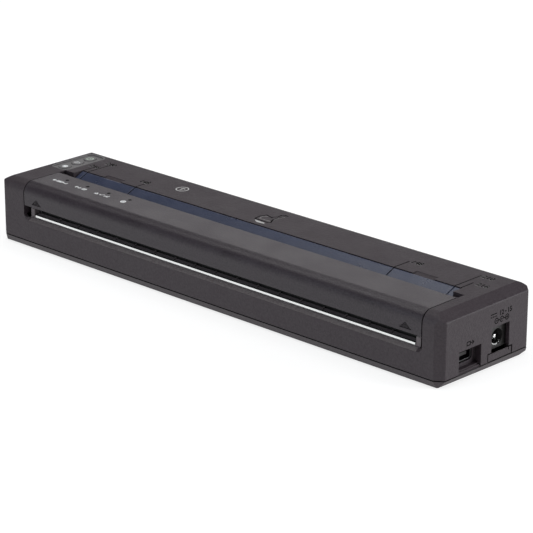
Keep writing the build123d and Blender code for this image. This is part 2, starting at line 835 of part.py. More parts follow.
# ---------------------------------------------------------------- release cover
with BuildPart() as release_cover:
    with BuildSketch(Plane.YZ.offset(paper_centre)):
        add(depth_profile(0))
        add(depth_profile(cover_thickness), mode=Mode.SUBTRACT)
        with Locations((front_y, cover_bottom)):
            Rectangle(cover_rear - front_y, case_height, align=(Align.MIN, Align.MIN), mode=Mode.INTERSECT)
    extrude(amount=cover_half, both=True)

    # stiffening ribs inside, clear of the platen
    with BuildSketch(Plane.YZ.offset(paper_centre)):
        for rib_y in (platen_y - platen_radius - cover_rib_clearance, cover_rear - cover_rib_width):
            with Locations((rib_y, cover_inside + sink)):
                Rectangle(cover_rib_width, cover_rib_height + sink, align=(Align.CENTER, Align.MAX))
    extrude(amount=cover_half - hinge_arm_width - cover_rib_width, both=True)

    # end gussets with the snap hooks, and the two hinge arms
    for side in sides.values():
        with BuildSketch(slab_plane(side, cover_half - cover_gusset, cover_gusset)):
            add(depth_profile(cover_thickness - sink))
            with Locations((front_y, cover_bottom + cover_gusset_lift)):
                Rectangle(cover_thickness + cover_gusset_depth, case_height, align=(Align.MIN, Align.MIN),
                          mode=Mode.INTERSECT)
            with BuildLine():
                hook_front = front_y + cover_thickness + hook_setback
                hook_bottom = cover_bottom - hook_drop
                Polyline(
                    (hook_front, cover_bottom + cover_gusset_lift + sink),
                    (hook_front + hook_width, cover_bottom + cover_gusset_lift + sink),
                    (hook_front + hook_width, hook_bottom), (hook_front + hook_nose, hook_bottom),
                    (hook_front, hook_bottom + hook_nose), (hook_front + hook_nose, hook_bottom + 2 * hook_nose),
                    close=True,
                )
            make_face()
        extrude(amount=cover_gusset)
        with BuildSketch(slab_plane(side, cover_half - hinge_arm_width, hinge_arm_width)):
            with Locations((hinge_y, hinge_z)):
                Circle(hinge_boss_radius)
            with BuildLine():
                Polyline(
                    (hinge_y - hinge_arm_depth, cover_inside + sink), (cover_rear, cover_inside + sink),
                    (cover_rear, hinge_z + hinge_boss_radius), (hinge_y, hinge_z + hinge_boss_radius),
                    (hinge_y, hinge_z - hinge_boss_radius), (hinge_y - hinge_arm_depth, hinge_z - hinge_pin_radius),
                    close=True,
                )
            make_face()
            with Locations((hinge_y, hinge_z)):
                Circle(hinge_pin_radius + running_clearance, mode=Mode.SUBTRACT)
        extrude(amount=hinge_arm_width)

    # ribbed lift marks near both ends of the front face
    for side in sides.values():
        mark_x = paper_centre + side * (cover_half - lift_mark_inset)
        mark_base = cover_bottom + lift_mark_rise
        with BuildSketch(Plane.XZ.offset(-front_y)):
            with BuildLine():
                Polyline(
                    (mark_x - lift_mark_width / 2, mark_base), (mark_x + lift_mark_width / 2, mark_base),
                    (mark_x, mark_base + lift_mark_height), close=True,
                )
            make_face()
        extrude(amount=-lift_mark_depth, mode=Mode.SUBTRACT)
        rib_pitch = lift_mark_height / (lift_mark_ribs + 1)
        for step in range(1, lift_mark_ribs + 1):
            rib_z = mark_base + step * rib_pitch
            rib_length = lift_mark_width * (1 - step / (lift_mark_ribs + 1))
            with BuildSketch(Plane.XZ.offset(-front_y - lift_mark_depth)):
                with Locations((mark_x, rib_z)):
                    Rectangle(rib_length, rib_pitch * lift_mark_rib_share)
            extrude(amount=lift_mark_depth - sink)

    # windows for the indicators
    with BuildSketch(Plane.XY.offset(cover_inside - past)):
        with Locations(*lens_places):
            SlotOverall(lens_length, lens_width)
    extrude(amount=cover_thickness + 2 * past, mode=Mode.SUBTRACT)
save(release_cover, "release_cover")

with BuildPart() as indicator_lenses:
    with BuildSketch(Plane.XY.offset(cover_inside - light_guide_height)):
        with Locations((sum(x for x, y in lens_places) / lens_count, cover_rear - lens_setback)):
            RectangleRounded(lens_pitch * (lens_count - 1) + 2 * light_guide_overhang, light_guide_width,
                             light_guide_corner)
    extrude(amount=light_guide_height)
    with BuildSketch(Plane.XY.offset(cover_inside)):
        with Locations(*lens_places):
            SlotOverall(lens_length - 2 * lens_clearance, lens_width - 2 * lens_clearance)
    extrude(amount=cover_thickness - lens_sink)
save(indicator_lenses, "indicator_lenses")

for name, side in sides.items():
    with BuildPart() as hinge_pin:
        pin_start = opening_half + hinge_pin_root - hinge_pin_length
        with BuildSketch(slab_plane(side, pin_start, hinge_pin_length)):
            with Locations((hinge_y, hinge_z)):
                Circle(hinge_pin_radius)
        extrude(amount=hinge_pin_length)
        chamfer(hinge_pin.edges(), hinge_pin_chamfer)
    save(hinge_pin, f"hinge_pin_{name}")

# ---------------------------------------------------------------- paper guide
ridge_y = plate_front - guide_ridge_gap
ridge_z = case_height - guide_ridge_drop
slope_end = hinge_y + guide_slope_reach
slope_end_z = ridge_z - (ridge_y - slope_end) * tan(radians(guide_slope))
guide_turn = 90 - guide_slope
guide_radius = (slope_end - platen_y - platen_radius - guide_platen_gap) / (1 - sin(radians(guide_slope)))
flange_bottom = plate_bottom - guide_flange_thickness

with BuildPart() as paper_guide:
    with BuildSketch(Plane.YZ.offset(paper_centre)) as guide_section:
        with BuildLine():
            slope = Line((ridge_y, ridge_z), (slope_end, slope_end_z))
            turn = JernArc(slope @ 1, slope % 1, guide_radius, guide_turn)
            drop = Line(turn @ 1, turn @ 1 - (0, guide_drop_length))
            under = Line(drop @ 1, drop @ 1 + (guide_thickness, 0))
            rise = Line(under @ 1, under @ 1 + (0, guide_drop_length))
            back = JernArc(rise @ 1, (0, 1), guide_radius - guide_thickness, -guide_turn)
            web_end = Line(back @ 1, (ridge_y - guide_thickness, flange_bottom))
            flange = Polyline(
                web_end @ 1, (ridge_y + guide_flange, flange_bottom),
                (ridge_y + guide_flange, plate_bottom), (ridge_y, plate_bottom), (ridge_y, ridge_z),
            )
        make_face()
    extrude(amount=guide_half, both=True)

    # lines across the slope that carry on the paper width marks
    slope_plane = Plane(origin=(paper_centre, ridge_y, ridge_z), x_dir=(1, 0, 0),
                        z_dir=(0, -sin(radians(guide_slope)), cos(radians(guide_slope))))
    with BuildSketch(slope_plane):
        for side in sides.values():
            for mark in (paper_mark_small, paper_mark_large):
                with Locations((side * mark, 0)):
                    Rectangle(groove_width, 2 * slope.length)
    extrude(amount=-groove_depth, mode=Mode.SUBTRACT)
save(paper_guide, "paper_guide")

# ---------------------------------------------------------------- paper exit
with BuildPart() as exit_frame:
    flange_rear = tear_front + tear_bar_flange
    ramp_start = tear_base + tear_bar_height - exit_ramp_drop
    with BuildSketch(Plane.YZ.offset(paper_centre)):
        with BuildLine():
            Polyline(
                (exit_front, chassis_top), (exit_front, mouth_sill), (tear_front, tear_base),
                (flange_rear, tear_base), (flange_rear, ramp_start),
                (exit_frame_rear, ramp_start + exit_ramp_rise), (exit_frame_rear, chassis_top), close=True,
            )
        make_face()
    extrude(amount=cheek_inner + cheek_width, both=True)
    cheek_top = cover_bottom - cheek_gap
    for side in sides.values():
        with BuildSketch(slab_plane(side, cheek_inner, cheek_width)):
            with BuildLine():
                Polyline(
                    (tear_front, mouth_sill - sink), (exit_frame_rear, mouth_sill - sink),
                    (exit_frame_rear, cheek_top), (tear_front + cheek_bevel, cheek_top),
                    (tear_front, cheek_top - cheek_bevel_height), close=True,
                )
            make_face()
        extrude(amount=cheek_width)

    # ribs that lead the paper over the tear bar
    rib_count = int(2 * cheek_inner / exit_rib_pitch) - 1
    rib_starts = [
        paper_centre + (step - (rib_count - 1) / 2) * exit_rib_pitch - exit_rib_width / 2
        for step in range(rib_count)
    ]
    with BuildSketch(*[Plane.YZ.offset(start) for start in rib_starts]):
        with BuildLine():
            Polyline(
                (flange_rear, tear_base), (flange_rear, ramp_start + exit_rib_height),
                (exit_frame_rear, ramp_start + exit_ramp_rise + exit_rib_height),
                (exit_frame_rear, tear_base), close=True,
            )
        make_face()
    extrude(amount=exit_rib_width)
save(exit_frame, "exit_frame")

with BuildPart() as tear_bar:
    with BuildSketch(Plane.YZ.offset(paper_centre)):
        with BuildLine():
            Polyline(
                (tear_front, tear_base), (tear_front, tear_base + tear_bar_height - tear_bar_edge),
                (tear_front + tear_bar_thickness, tear_base + tear_bar_height),
                (tear_front + tear_bar_thickness, tear_base + tear_bar_thickness),
                (flange_rear, tear_base + tear_bar_thickness), (flange_rear, tear_base), close=True,
            )
        make_face()
    extrude(amount=cheek_inner - tear_bar_end_gap, both=True)
save(tear_bar, "tear_bar")

# ---------------------------------------------------------------- chassis and side frames
with BuildPart() as chassis_plate:
    with BuildSketch(Plane.XY.offset(chassis_bottom)):
        with Locations((paper_centre, chassis_front)):
            Rectangle(2 * frame_outer, frame_rear - chassis_front, align=(Align.CENTER, Align.MIN))
        with Locations((paper_centre, head_pivot_y + head_lug_radius)):
            with GridLocations(2 * (frame_inner - head_lug_width), 1, 2, 1):
                RectangleRounded(2 * (head_lug_width + lug_slot_gap), 4 * head_lug_radius + lug_slot_gap,
                                 lug_slot_corner, mode=Mode.SUBTRACT)
        with Locations(*chassis_boss_places):
            Circle(screw_radius, mode=Mode.SUBTRACT)
    extrude(amount=chassis_thickness)
save(chassis_plate, "chassis_plate")

for name, side in sides.items():
    with BuildPart() as side_frame:
        with BuildSketch(slab_plane(side, frame_inner, frame_thickness)) as frame_face:
            rear_edge = motor_y + motor_radius + motor_plate_margin if side < 0 else frame_rear
            with BuildLine():
                Polyline(
                    (frame_front, chassis_top), (rear_edge, chassis_top), (rear_edge, motor_z + motor_radius),
                    (platen_y + bush_radius + frame_shoulder, frame_top),
                    (platen_y - bush_radius - frame_shoulder, frame_top),
                    (frame_front, frame_top - frame_nose_drop), close=True,
                )
            make_face()
            with Locations((platen_y, platen_z)):
                Circle(bush_radius, mode=Mode.SUBTRACT)
                Rectangle(2 * bush_radius, frame_top, align=(Align.CENTER, Align.MIN), mode=Mode.SUBTRACT)
            with Locations((head_pivot_y, head_pivot_z)):
                Circle(head_pivot_radius + running_clearance, mode=Mode.SUBTRACT)
            if side < 0:
                with Locations((idler_y, idler_z)):
                    Circle(idler_shaft_radius, mode=Mode.SUBTRACT)
                with Locations((motor_y, motor_z)):
                    Circle(motor_pilot_radius, mode=Mode.SUBTRACT)
        extrude(amount=frame_thickness)
        with BuildSketch(slab_plane(side, frame_inner - tab_length, tab_length)):
            with Locations((frame_front + tab_inset, chassis_top)):
                Rectangle(tab_width, frame_thickness, align=(Align.MIN, Align.MIN))
        extrude(amount=tab_length)
    save(side_frame, f"side_frame_{name}")

for name, side in sides.items():
    with BuildPart() as platen_bush:
        bush_start = frame_inner - (bush_width - frame_thickness) / 2
        with BuildSketch(slab_plane(side, bush_start, bush_width)):
            with Locations((platen_y, platen_z)):
                Circle(bush_radius - bush_clearance)
                Circle(journal_radius + running_clearance, mode=Mode.SUBTRACT)
        extrude(amount=bush_width)
    save(platen_bush, f"platen_bush_{name}")

# ---------------------------------------------------------------- platen roller
with BuildPart() as platen_rubber:
    with BuildSketch(Plane.YZ.offset(paper_centre)):
        with Locations((platen_y, platen_z)):
            Circle(platen_radius)
            Circle(platen_core_radius, mode=Mode.SUBTRACT)
    extrude(amount=frame_inner - platen_end_gap, both=True)
save(platen_rubber, "platen_rubber")

with BuildPart() as platen_shaft:
    with BuildSketch(Plane.YZ.offset(paper_centre)):
        with Locations((platen_y, platen_z)):
            Circle(platen_core_radius)
    extrude(amount=frame_inner - platen_end_gap, both=True)
    shaft_left = gear_lane + gear_width + shaft_overhang
    with BuildSketch(Plane.YZ.offset(paper_centre - shaft_left)):
        with Locations((platen_y, platen_z)):
            Circle(journal_radius)
    extrude(amount=shaft_left + frame_outer + journal_overhang)
save(platen_shaft, "platen_shaft")

with BuildPart() as platen_gear:
    with BuildSketch(slab_plane(-1, gear_lane, gear_width)):
        with Locations((platen_y, platen_z)):
            add(gear_outline(platen_teeth, idler_bearing))
            Circle(journal_radius, mode=Mode.SUBTRACT)
    extrude(amount=gear_width)
save(platen_gear, "platen_gear")

# ---------------------------------------------------------------- gear train and motor
with BuildPart() as idler_gear:
    with BuildSketch(slab_plane(-1, gear_lane, gear_width)):
        with Locations((idler_y, idler_z)):
            add(gear_outline(idler_small_teeth, idler_bearing + 180 + 180 / idler_small_teeth))
    extrude(amount=gear_width)
    with BuildSketch(slab_plane(-1, drive_lane, gear_width)):
        with Locations((idler_y, idler_z)):
            add(gear_outline(idler_large_teeth, motor_bearing))
    extrude(amount=gear_width)
    with BuildSketch(slab_plane(-1, gear_lane + gear_width, gear_lane_gap)):
        with Locations((idler_y, idler_z)):
            Circle(gear_module * idler_small_teeth / 2 - gear_dedendum - gear_hub_clearance)
    extrude(amount=gear_lane_gap)
    idler_width = 2 * gear_width + gear_lane_gap
    with BuildSketch(slab_plane(-1, gear_lane - past, idler_width + 2 * past)):
        with Locations((idler_y, idler_z)):
            Circle(idler_shaft_radius + running_clearance)
    extrude(amount=idler_width + 2 * past, mode=Mode.SUBTRACT)
save(idler_gear, "idler_gear")

with BuildPart() as idler_shaft:
    shaft_start = frame_inner - shaft_root
    shaft_length = drive_lane + gear_width + shaft_overhang - shaft_start
    with BuildSketch(slab_plane(-1, shaft_start, shaft_length)):
        with Locations((idler_y, idler_z)):
            Circle(idler_shaft_radius)
    extrude(amount=shaft_length)
save(idler_shaft, "idler_shaft")

with BuildPart() as motor_body:
    with BuildSketch(slab_plane(-1, frame_inner - motor_length, motor_length)):
        with Locations((motor_y, motor_z)):
            Circle(motor_radius)
    extrude(amount=motor_length)
    chamfer(motor_body.edges().group_by(Axis.X)[-1], motor_chamfer)
    pilot_length = frame_thickness + motor_pilot_overhang
    with BuildSketch(slab_plane(-1, frame_inner, pilot_length)):
        with Locations((motor_y, motor_z)):
            Circle(motor_pilot_radius - bush_clearance)
    extrude(amount=pilot_length)
    shaft_bore = motor_shaft_depth + pilot_length + 2 * past
    with BuildSketch(slab_plane(-1, frame_inner - motor_shaft_depth - past, shaft_bore)):
        with Locations((motor_y, motor_z)):
            Circle(motor_shaft_radius + running_clearance)
    extrude(amount=shaft_bore, mode=Mode.SUBTRACT)
save(motor_body, "motor_body")

with BuildPart() as motor_pinion:
    with BuildSketch(slab_plane(-1, drive_lane, gear_width)):
        with Locations((motor_y, motor_z)):
            add(gear_outline(pinion_teeth, motor_bearing + 180 + 180 / pinion_teeth))
    extrude(amount=gear_width)
    shaft_length = drive_lane - frame_inner + motor_shaft_depth
    with BuildSketch(slab_plane(-1, frame_inner - motor_shaft_depth, shaft_length)):
        with Locations((motor_y, motor_z)):
            Circle(motor_shaft_radius)
    extrude(amount=shaft_length)
save(motor_pinion, "motor_pinion")

# ---------------------------------------------------------------- print head
with BuildPart() as head_heat_sink:
    with BuildSketch(Plane.YZ.offset(paper_centre)):
        with Locations((head_front, head_bottom)):
            Rectangle(head_rear - head_front, head_top - head_bottom, align=(Align.MIN, Align.MIN))
        with Locations(((head_front + substrate_rear) / 2, head_bottom)):
            with GridLocations(head_fin_pitch, 1, head_fin_count, 1):
                Rectangle(head_fin_gap, 2 * head_fin_depth, mode=Mode.SUBTRACT)
    extrude(amount=head_half, both=True)
    for side in sides.values():
        with BuildSketch(slab_plane(side, head_half - head_lug_width, head_lug_width)):
            with Locations((head_pivot_y, head_pivot_z)):
                Circle(head_lug_radius)
            with Locations((head_pivot_y, head_pivot_z)):
                Rectangle(2 * head_lug_radius, head_top - head_pivot_z, align=(Align.CENTER, Align.MIN))
        extrude(amount=head_lug_width)
        with BuildSketch(slab_plane(side, head_half, frame_outer - head_half)):
            with Locations((head_pivot_y, head_pivot_z)):
                Circle(head_pivot_radius)
        extrude(amount=frame_outer - head_half)
save(head_heat_sink, "head_heat_sink")

with BuildPart() as head_substrate:
    with BuildSketch(Plane.YZ.offset(paper_centre)):
        with Locations((substrate_front, head_top)):
            Rectangle(substrate_rear - substrate_front, substrate_thickness, align=(Align.MIN, Align.MIN))
        with BuildLine():
            glaze_base = head_top + substrate_thickness
            ThreePointArc((platen_y - glaze_width / 2, glaze_base), (platen_y, glaze_base + glaze_height),
                          (platen_y + glaze_width / 2, glaze_base))
            Line((platen_y + glaze_width / 2, glaze_base), (platen_y - glaze_width / 2, glaze_base))
        make_face()
    extrude(amount=head_half - substrate_end_inset, both=True)
save(head_substrate, "head_substrate")

with BuildPart() as head_driver_cover:
    with BuildSketch(Plane.YZ.offset(paper_centre)):
        with Locations((substrate_rear, head_top + substrate_thickness)):
            Rectangle(driver_cover_width, driver_cover_height, align=(Align.MAX, Align.MIN))
    extrude(amount=head_half - driver_cover_inset, both=True)
    chamfer(head_driver_cover.edges().filter_by(Axis.X).group_by(Axis.Z)[-1], driver_cover_chamfer)
save(head_driver_cover, "head_driver_cover")

with BuildPart() as head_springs:
    spring_front = head_front + spring_reach - spring_length / 2
    spring_rear = spring_front + spring_length
    spring_starts = [
        paper_centre + (step - (spring_count - 1) / 2) * spring_pitch - spring_width / 2
        for step in range(spring_count)
    ]
    with BuildSketch(*[Plane.YZ.offset(start) for start in spring_starts]):
        with BuildLine():
            Polyline(
                (spring_front, chassis_top), (spring_front + spring_foot, chassis_top),
                (spring_rear - spring_foot, head_bottom - spring_thickness),
                (spring_rear, head_bottom - spring_thickness), (spring_rear, head_bottom),
                (spring_rear - spring_foot, head_bottom),
                (spring_front + spring_foot, chassis_top + spring_thickness),
                (spring_front, chassis_top + spring_thickness), close=True,
            )
        make_face()
    extrude(amount=spring_width)
save(head_springs, "head_springs")

# ---------------------------------------------------------------- main board and connectors
with BuildPart() as main_board:
    with BuildSketch(Plane.XY.offset(board_top - board_thickness)):
        with BuildLine():
            Polyline(
                (board_left, board_front), (board_port_left, board_front), (board_port_left, board_port_front),
                (board_right, board_port_front), (board_right, board_jack_rear),
                (board_jack_left, board_jack_rear), (board_jack_left, board_rear),
                (board_left, board_rear), close=True,
            )
        make_face()
    extrude(amount=board_thickness)
    with BuildSketch(Plane.XY.offset(board_top - sink)):
        for chip_place, chip_length, chip_width in chips:
            with Locations((board_left + chip_place, board_middle)):
                Rectangle(chip_length, chip_width)
    extrude(amount=chip_height + sink)
save(main_board, "main_board")

with BuildPart() as usb_shell:
    with BuildSketch(Plane.YZ.offset(recess_floor - usb_length)):
        with Locations((usb_y, usb_z)):
            RectangleRounded(usb_width, usb_height, usb_corner)
    extrude(amount=usb_length)
    with BuildSketch(Plane.YZ.offset(recess_floor - usb_length + usb_shell_wall)):
        with Locations((usb_y, usb_z)):
            RectangleRounded(usb_width - 2 * usb_shell_wall, usb_height - 2 * usb_shell_wall,
                             usb_corner - usb_shell_wall)
    extrude(amount=usb_length, mode=Mode.SUBTRACT)
    with BuildSketch(Plane.XY.offset(board_top)):
        with Locations((recess_floor - usb_length / 2 - usb_leg_inset, usb_y)):
            with GridLocations(1, usb_width - 2 * usb_leg_width, 1, 2):
                Rectangle(usb_leg_length, usb_leg_width)
    extrude(amount=usb_board_gap + sink)
save(usb_shell, "usb_shell")

with BuildPart() as usb_tongue:
    with BuildSketch(Plane.YZ.offset(recess_floor - usb_length + usb_shell_wall)):
        with Locations((usb_y, usb_z + usb_tongue_rise)):
            Rectangle(usb_width - 2 * usb_tongue_side_gap, usb_tongue_height)
    extrude(amount=usb_length - usb_shell_wall - usb_tongue_setback)
save(usb_tongue, "usb_tongue")

with BuildPart() as jack_body:
    with BuildSketch(Plane.YZ.offset(jack_face - jack_length)):
        with Locations((jack_y, board_top)):
            Rectangle(jack_opening_width + 2 * jack_border, jack_opening_top + jack_border - board_top,
                      align=(Align.CENTER, Align.MIN))
    extrude(amount=jack_length)
    with BuildSketch(Plane.YZ.offset(jack_face - jack_bore_depth)):
        with Locations((jack_hole_y, jack_z)):
            Circle(jack_hole_radius)
    extrude(amount=jack_bore_depth + past, mode=Mode.SUBTRACT)
save(jack_body, "jack_body")

with BuildPart() as jack_pin:
    with BuildSketch(Plane.YZ.offset(jack_face - jack_bore_depth)):
        with Locations((jack_hole_y, jack_z)):
            Circle(jack_pin_radius)
    extrude(amount=jack_bore_depth - jack_pin_setback)
    fillet(jack_pin.edges().group_by(Axis.X)[-1], jack_pin_rounding)
save(jack_pin, "jack_pin")

with BuildPart() as jack_contact:
    with BuildSketch(Plane.YZ.offset(jack_face - jack_bore_depth + contact_end_gap)):
        with Locations((jack_hole_y, jack_z)):
            Circle(jack_hole_radius)
            Circle(jack_hole_radius - contact_thickness, mode=Mode.SUBTRACT)
            Rectangle(2 * jack_hole_radius, 2 * jack_hole_radius, align=(Align.CENTER, Align.MIN), mode=Mode.SUBTRACT)
            with Locations((0, -jack_hole_radius / 2)):
                Rectangle(contact_length, 2 * jack_hole_radius, mode=Mode.INTERSECT)
    extrude(amount=jack_bore_depth - contact_end_gap - contact_setback)
save(jack_contact, "jack_contact")

with BuildPart() as jack_sill:
    with BuildSketch(Plane.YZ.offset(jack_face)):
        with Locations((jack_y, seam_top + lip_clearance)):
            Rectangle(sill_width, sill_top - seam_top - lip_clearance, align=(Align.CENTER, Align.MIN))
        with Locations((jack_y + sill_width / 2 - sill_slot_inset, sill_top)):
            Rectangle(sill_slot_width, 2 * sill_slot_height, mode=Mode.SUBTRACT)
    extrude(amount=jack_face_depth - lip_clearance)
    with BuildSketch(Plane.YZ.offset(jack_face)):
        with Locations((jack_y, sill_top)):
            Rectangle(jack_opening_width, 2 * sill_trough_depth)
    extrude(amount=sill_trough_width, mode=Mode.SUBTRACT)
save(jack_sill, "jack_sill")

with BuildPart() as paper_sensor:
    with BuildSketch(Plane.XY.offset(chassis_top)):
        with Locations((paper_centre + sensor_offset, frame_rear - sensor_size / 2 - sensor_inset)):
            Rectangle(sensor_size, sensor_size)
    extrude(amount=sensor_height)
    chamfer(paper_sensor.edges().group_by(Axis.Z)[-1], sensor_chamfer)
save(paper_sensor, "paper_sensor")

# ---------------------------------------------------------------- buttons
with BuildPart() as button_panel:
    with BuildSketch(Plane.XY.offset(case_height - panel_depth)):
        with Locations((panel_x, panel_y)):
            RectangleRounded(panel_width - 2 * panel_clearance, panel_length - 2 * panel_clearance,
                             panel_corner - panel_clearance)
    extrude(amount=panel_depth)
    with BuildSketch(Plane.XY.offset(case_height - panel_dish)):
        with Locations((panel_x, panel_y)):
            RectangleRounded(panel_width - 2 * panel_rim, panel_length - 2 * panel_rim, panel_corner - panel_rim)
    extrude(amount=panel_dish + past, mode=Mode.SUBTRACT)
    with BuildSketch(Plane.XY.offset(case_height - panel_depth)):
        with Locations(*button_places):
            Ellipse(button_width / 2 + button_gap, button_length / 2 + button_gap)
    extrude(amount=panel_depth + past, mode=Mode.SUBTRACT)
    chamfer(button_panel.edges().filter_by(GeomType.ELLIPSE).group_by(Axis.Z)[-1], finger_dish)
save(button_panel, "button_panel")

for name, (x, y) in zip(("function", "feed", "power"), button_places):
    with BuildPart() as button:
        with BuildSketch(Plane.XY.offset(button_bottom)):
            with Locations((x, y)):
                Circle(button_stem_radius)
        extrude(amount=button_stem_length)
        with BuildSketch(Plane.XY.offset(button_bottom + button_stem_length)):
            with Locations((x, y)):
                Ellipse(button_width / 2 + button_flange, button_length / 2 + button_flange)
        extrude(amount=button_flange_height)
        with BuildSketch(Plane.XY.offset(button_bottom + button_stem_length)):
            with Locations((x, y)):
                Ellipse(button_width / 2, button_length / 2)
        extrude(amount=case_height - button_sink - button_bottom - button_stem_length)
        fillet(button.edges().group_by(Axis.Z)[-1], button_dome)
    save(button, f"button_{name}")

with BuildPart() as switch_board:
    with BuildSketch(Plane.XY.offset(switch_board_top - switch_board_thickness)):
        with Locations((panel_x + button_stem_radius + switch_board_edge, button_y)):
            Rectangle(switch_board_width, switch_board_length, align=(Align.MAX, Align.CENTER))
    extrude(amount=switch_board_thickness)
    with BuildSketch(Plane.XY.offset(switch_board_top)):
        with Locations(*button_places):
            Circle(switch_radius)
    extrude(amount=switch_height)
save(switch_board, "switch_board")

# ---------------------------------------------------------------- battery pack and its bay
with BuildPart() as battery_case:
    battery_rear = rear_y - battery_panel_thickness
    battery_shoulder = battery_top - battery_top_step
    with BuildSketch(Plane.YZ.offset(battery_left)) as battery_section:
        with BuildLine():
            Polyline(
                (battery_front, battery_bottom), (battery_rear, battery_bottom),
                (battery_rear, battery_shoulder), (battery_front, battery_shoulder), close=True,
            )
        make_face()
        fillet(battery_section.vertices(), battery_round)
        with Locations((battery_rear, (battery_bottom + battery_top) / 2)):
            Rectangle(battery_round, battery_top - battery_bottom - 2 * battery_flange_inset,
                      align=(Align.MAX, Align.CENTER))
    extrude(amount=battery_length)
    with BuildSketch(Plane.XZ.offset(-battery_front)):
        with Locations((terminal_x, terminal_z)):
            with GridLocations(terminal_pitch, 1, terminal_count, 1):
                Rectangle(terminal_slot_width, terminal_slot_height)
    extrude(amount=-terminal_slot_depth, mode=Mode.SUBTRACT)
save(battery_case, "battery_case")

with BuildPart() as battery_panel:
    panel_base = seam_top + battery_gap
    with BuildSketch(Plane.ZX.offset(rear_y - battery_panel_thickness)):
        with Locations((panel_base, battery_middle)):
            RectangleRounded(battery_top - panel_base, battery_length, battery_panel_corner,
                             align=(Align.MIN, Align.CENTER))
    extrude(amount=battery_panel_thickness)
    grip_middle = (battery_top + panel_base) / 2
    with BuildSketch(Plane.ZX.offset(rear_y)):
        with Locations((grip_middle, battery_middle)):
            RectangleRounded(grip_height, grip_width, grip_corner)
    extrude(amount=-grip_depth, mode=Mode.SUBTRACT)
    with BuildSketch(Plane.ZX.offset(rear_y - grip_depth)):
        with Locations((grip_middle, battery_middle)):
            with GridLocations(grip_height / (grip_ribs + 1), 1, grip_ribs, 1):
                Rectangle(grip_rib_width, grip_width - 2 * grip_rib_inset)
    extrude(amount=grip_depth * grip_rib_share)
save(battery_panel, "battery_panel")

with BuildPart() as battery_bay:
    bay_length = battery_length + 2 * battery_gap
    with BuildSketch(Plane.YZ.offset(battery_left - battery_gap - bay_wall)):
        with Locations((bay_front - bay_wall, floor_top)):
            Rectangle(bay_rear - bay_front + bay_wall, bay_roof + bay_wall - floor_top,
                      align=(Align.MIN, Align.MIN))
    extrude(amount=bay_length + 2 * bay_wall)
    with BuildSketch(Plane.YZ.offset(battery_left - battery_gap)):
        with Locations((bay_front, floor_top - past)):
            Rectangle(case_depth, bay_roof - floor_top + past, align=(Align.MIN, Align.MIN))
    extrude(amount=bay_length, mode=Mode.SUBTRACT)
    with BuildSketch(Plane.XZ.offset(-bay_front)):
        with Locations((terminal_x, terminal_z)):
            Rectangle(terminal_pitch * terminal_count + 2 * past, terminal_window_height)
    extrude(amount=bay_wall + past, mode=Mode.SUBTRACT)
save(battery_bay, "battery_bay")

with BuildPart() as battery_contacts:
    block_rear = bay_front - bay_wall - battery_gap
    with BuildSketch(Plane.XY.offset(board_top)):
        with Locations((terminal_x, block_rear)):
            Rectangle(terminal_pitch * terminal_count + past, terminal_block_depth, align=(Align.CENTER, Align.MAX))
    extrude(amount=terminal_z + terminal_block_rise - board_top)
    with BuildSketch(Plane.XZ.offset(-block_rear)):
        with Locations((terminal_x, terminal_z)):
            with GridLocations(terminal_pitch, 1, terminal_count, 1):
                Rectangle(terminal_blade_width, terminal_blade_height)
    extrude(amount=-(battery_front + terminal_blade_reach - block_rear))
save(battery_contacts, "battery_contacts")
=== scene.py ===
import bpy
import math
from mathutils import Matrix, Vector


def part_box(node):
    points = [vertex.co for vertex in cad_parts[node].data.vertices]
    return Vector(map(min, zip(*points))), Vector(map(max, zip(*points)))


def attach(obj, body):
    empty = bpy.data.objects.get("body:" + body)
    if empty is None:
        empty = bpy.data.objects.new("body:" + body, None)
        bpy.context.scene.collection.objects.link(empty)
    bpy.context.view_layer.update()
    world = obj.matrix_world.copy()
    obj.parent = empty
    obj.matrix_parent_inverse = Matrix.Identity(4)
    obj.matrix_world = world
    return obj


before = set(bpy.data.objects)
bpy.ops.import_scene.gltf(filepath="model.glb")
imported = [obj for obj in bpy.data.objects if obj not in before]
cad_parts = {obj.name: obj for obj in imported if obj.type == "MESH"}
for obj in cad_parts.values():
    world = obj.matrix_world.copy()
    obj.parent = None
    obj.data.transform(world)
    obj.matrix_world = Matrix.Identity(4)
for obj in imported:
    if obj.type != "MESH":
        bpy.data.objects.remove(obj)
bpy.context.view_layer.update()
mm = 0.001    # the scene is in metres
print("frame loaded:", len(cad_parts), "nodes")

# the camera looks down on the corner nearest the sockets
cameraSetup = {
    "turn": 44.117, "rise": 19.655, "roll": -0.087,
    "distance": 0.99225, "target": (0.0, 0.0, 0.015),
    "lens": 159.98, "shiftX": 0.03419, "shiftY": -0.01517,
    "sensorWidth": 36, "clipStart": 0.05,
}


def addCamera(setup):
    turn, rise, roll = (math.radians(setup[key]) for key in ("turn", "rise", "roll"))
    back = Vector((math.sin(turn) * math.cos(rise), -math.cos(turn) * math.cos(rise), math.sin(rise)))
    right = Vector((math.cos(turn), math.sin(turn), 0))
    up = back.cross(right)
    rolledRight = right * math.cos(roll) + up * math.sin(roll)
    rolledUp = up * math.cos(roll) - right * math.sin(roll)
    bpy.ops.object.camera_add()
    camera = bpy.context.object
    camera.name = "studioCamera"
    station = Vector(setup["target"]) + back * setup["distance"]
    turned = Matrix((rolledRight, rolledUp, back)).transposed().to_4x4()
    camera.matrix_world = Matrix.Translation(station) @ turned
    camera.data.sensor_width = setup["sensorWidth"]
    camera.data.lens = setup["lens"]
    camera.data.shift_x = setup["shiftX"]
    camera.data.shift_y = setup["shiftY"]
    camera.data.clip_start = setup["clipStart"]
    bpy.context.scene.camera = camera


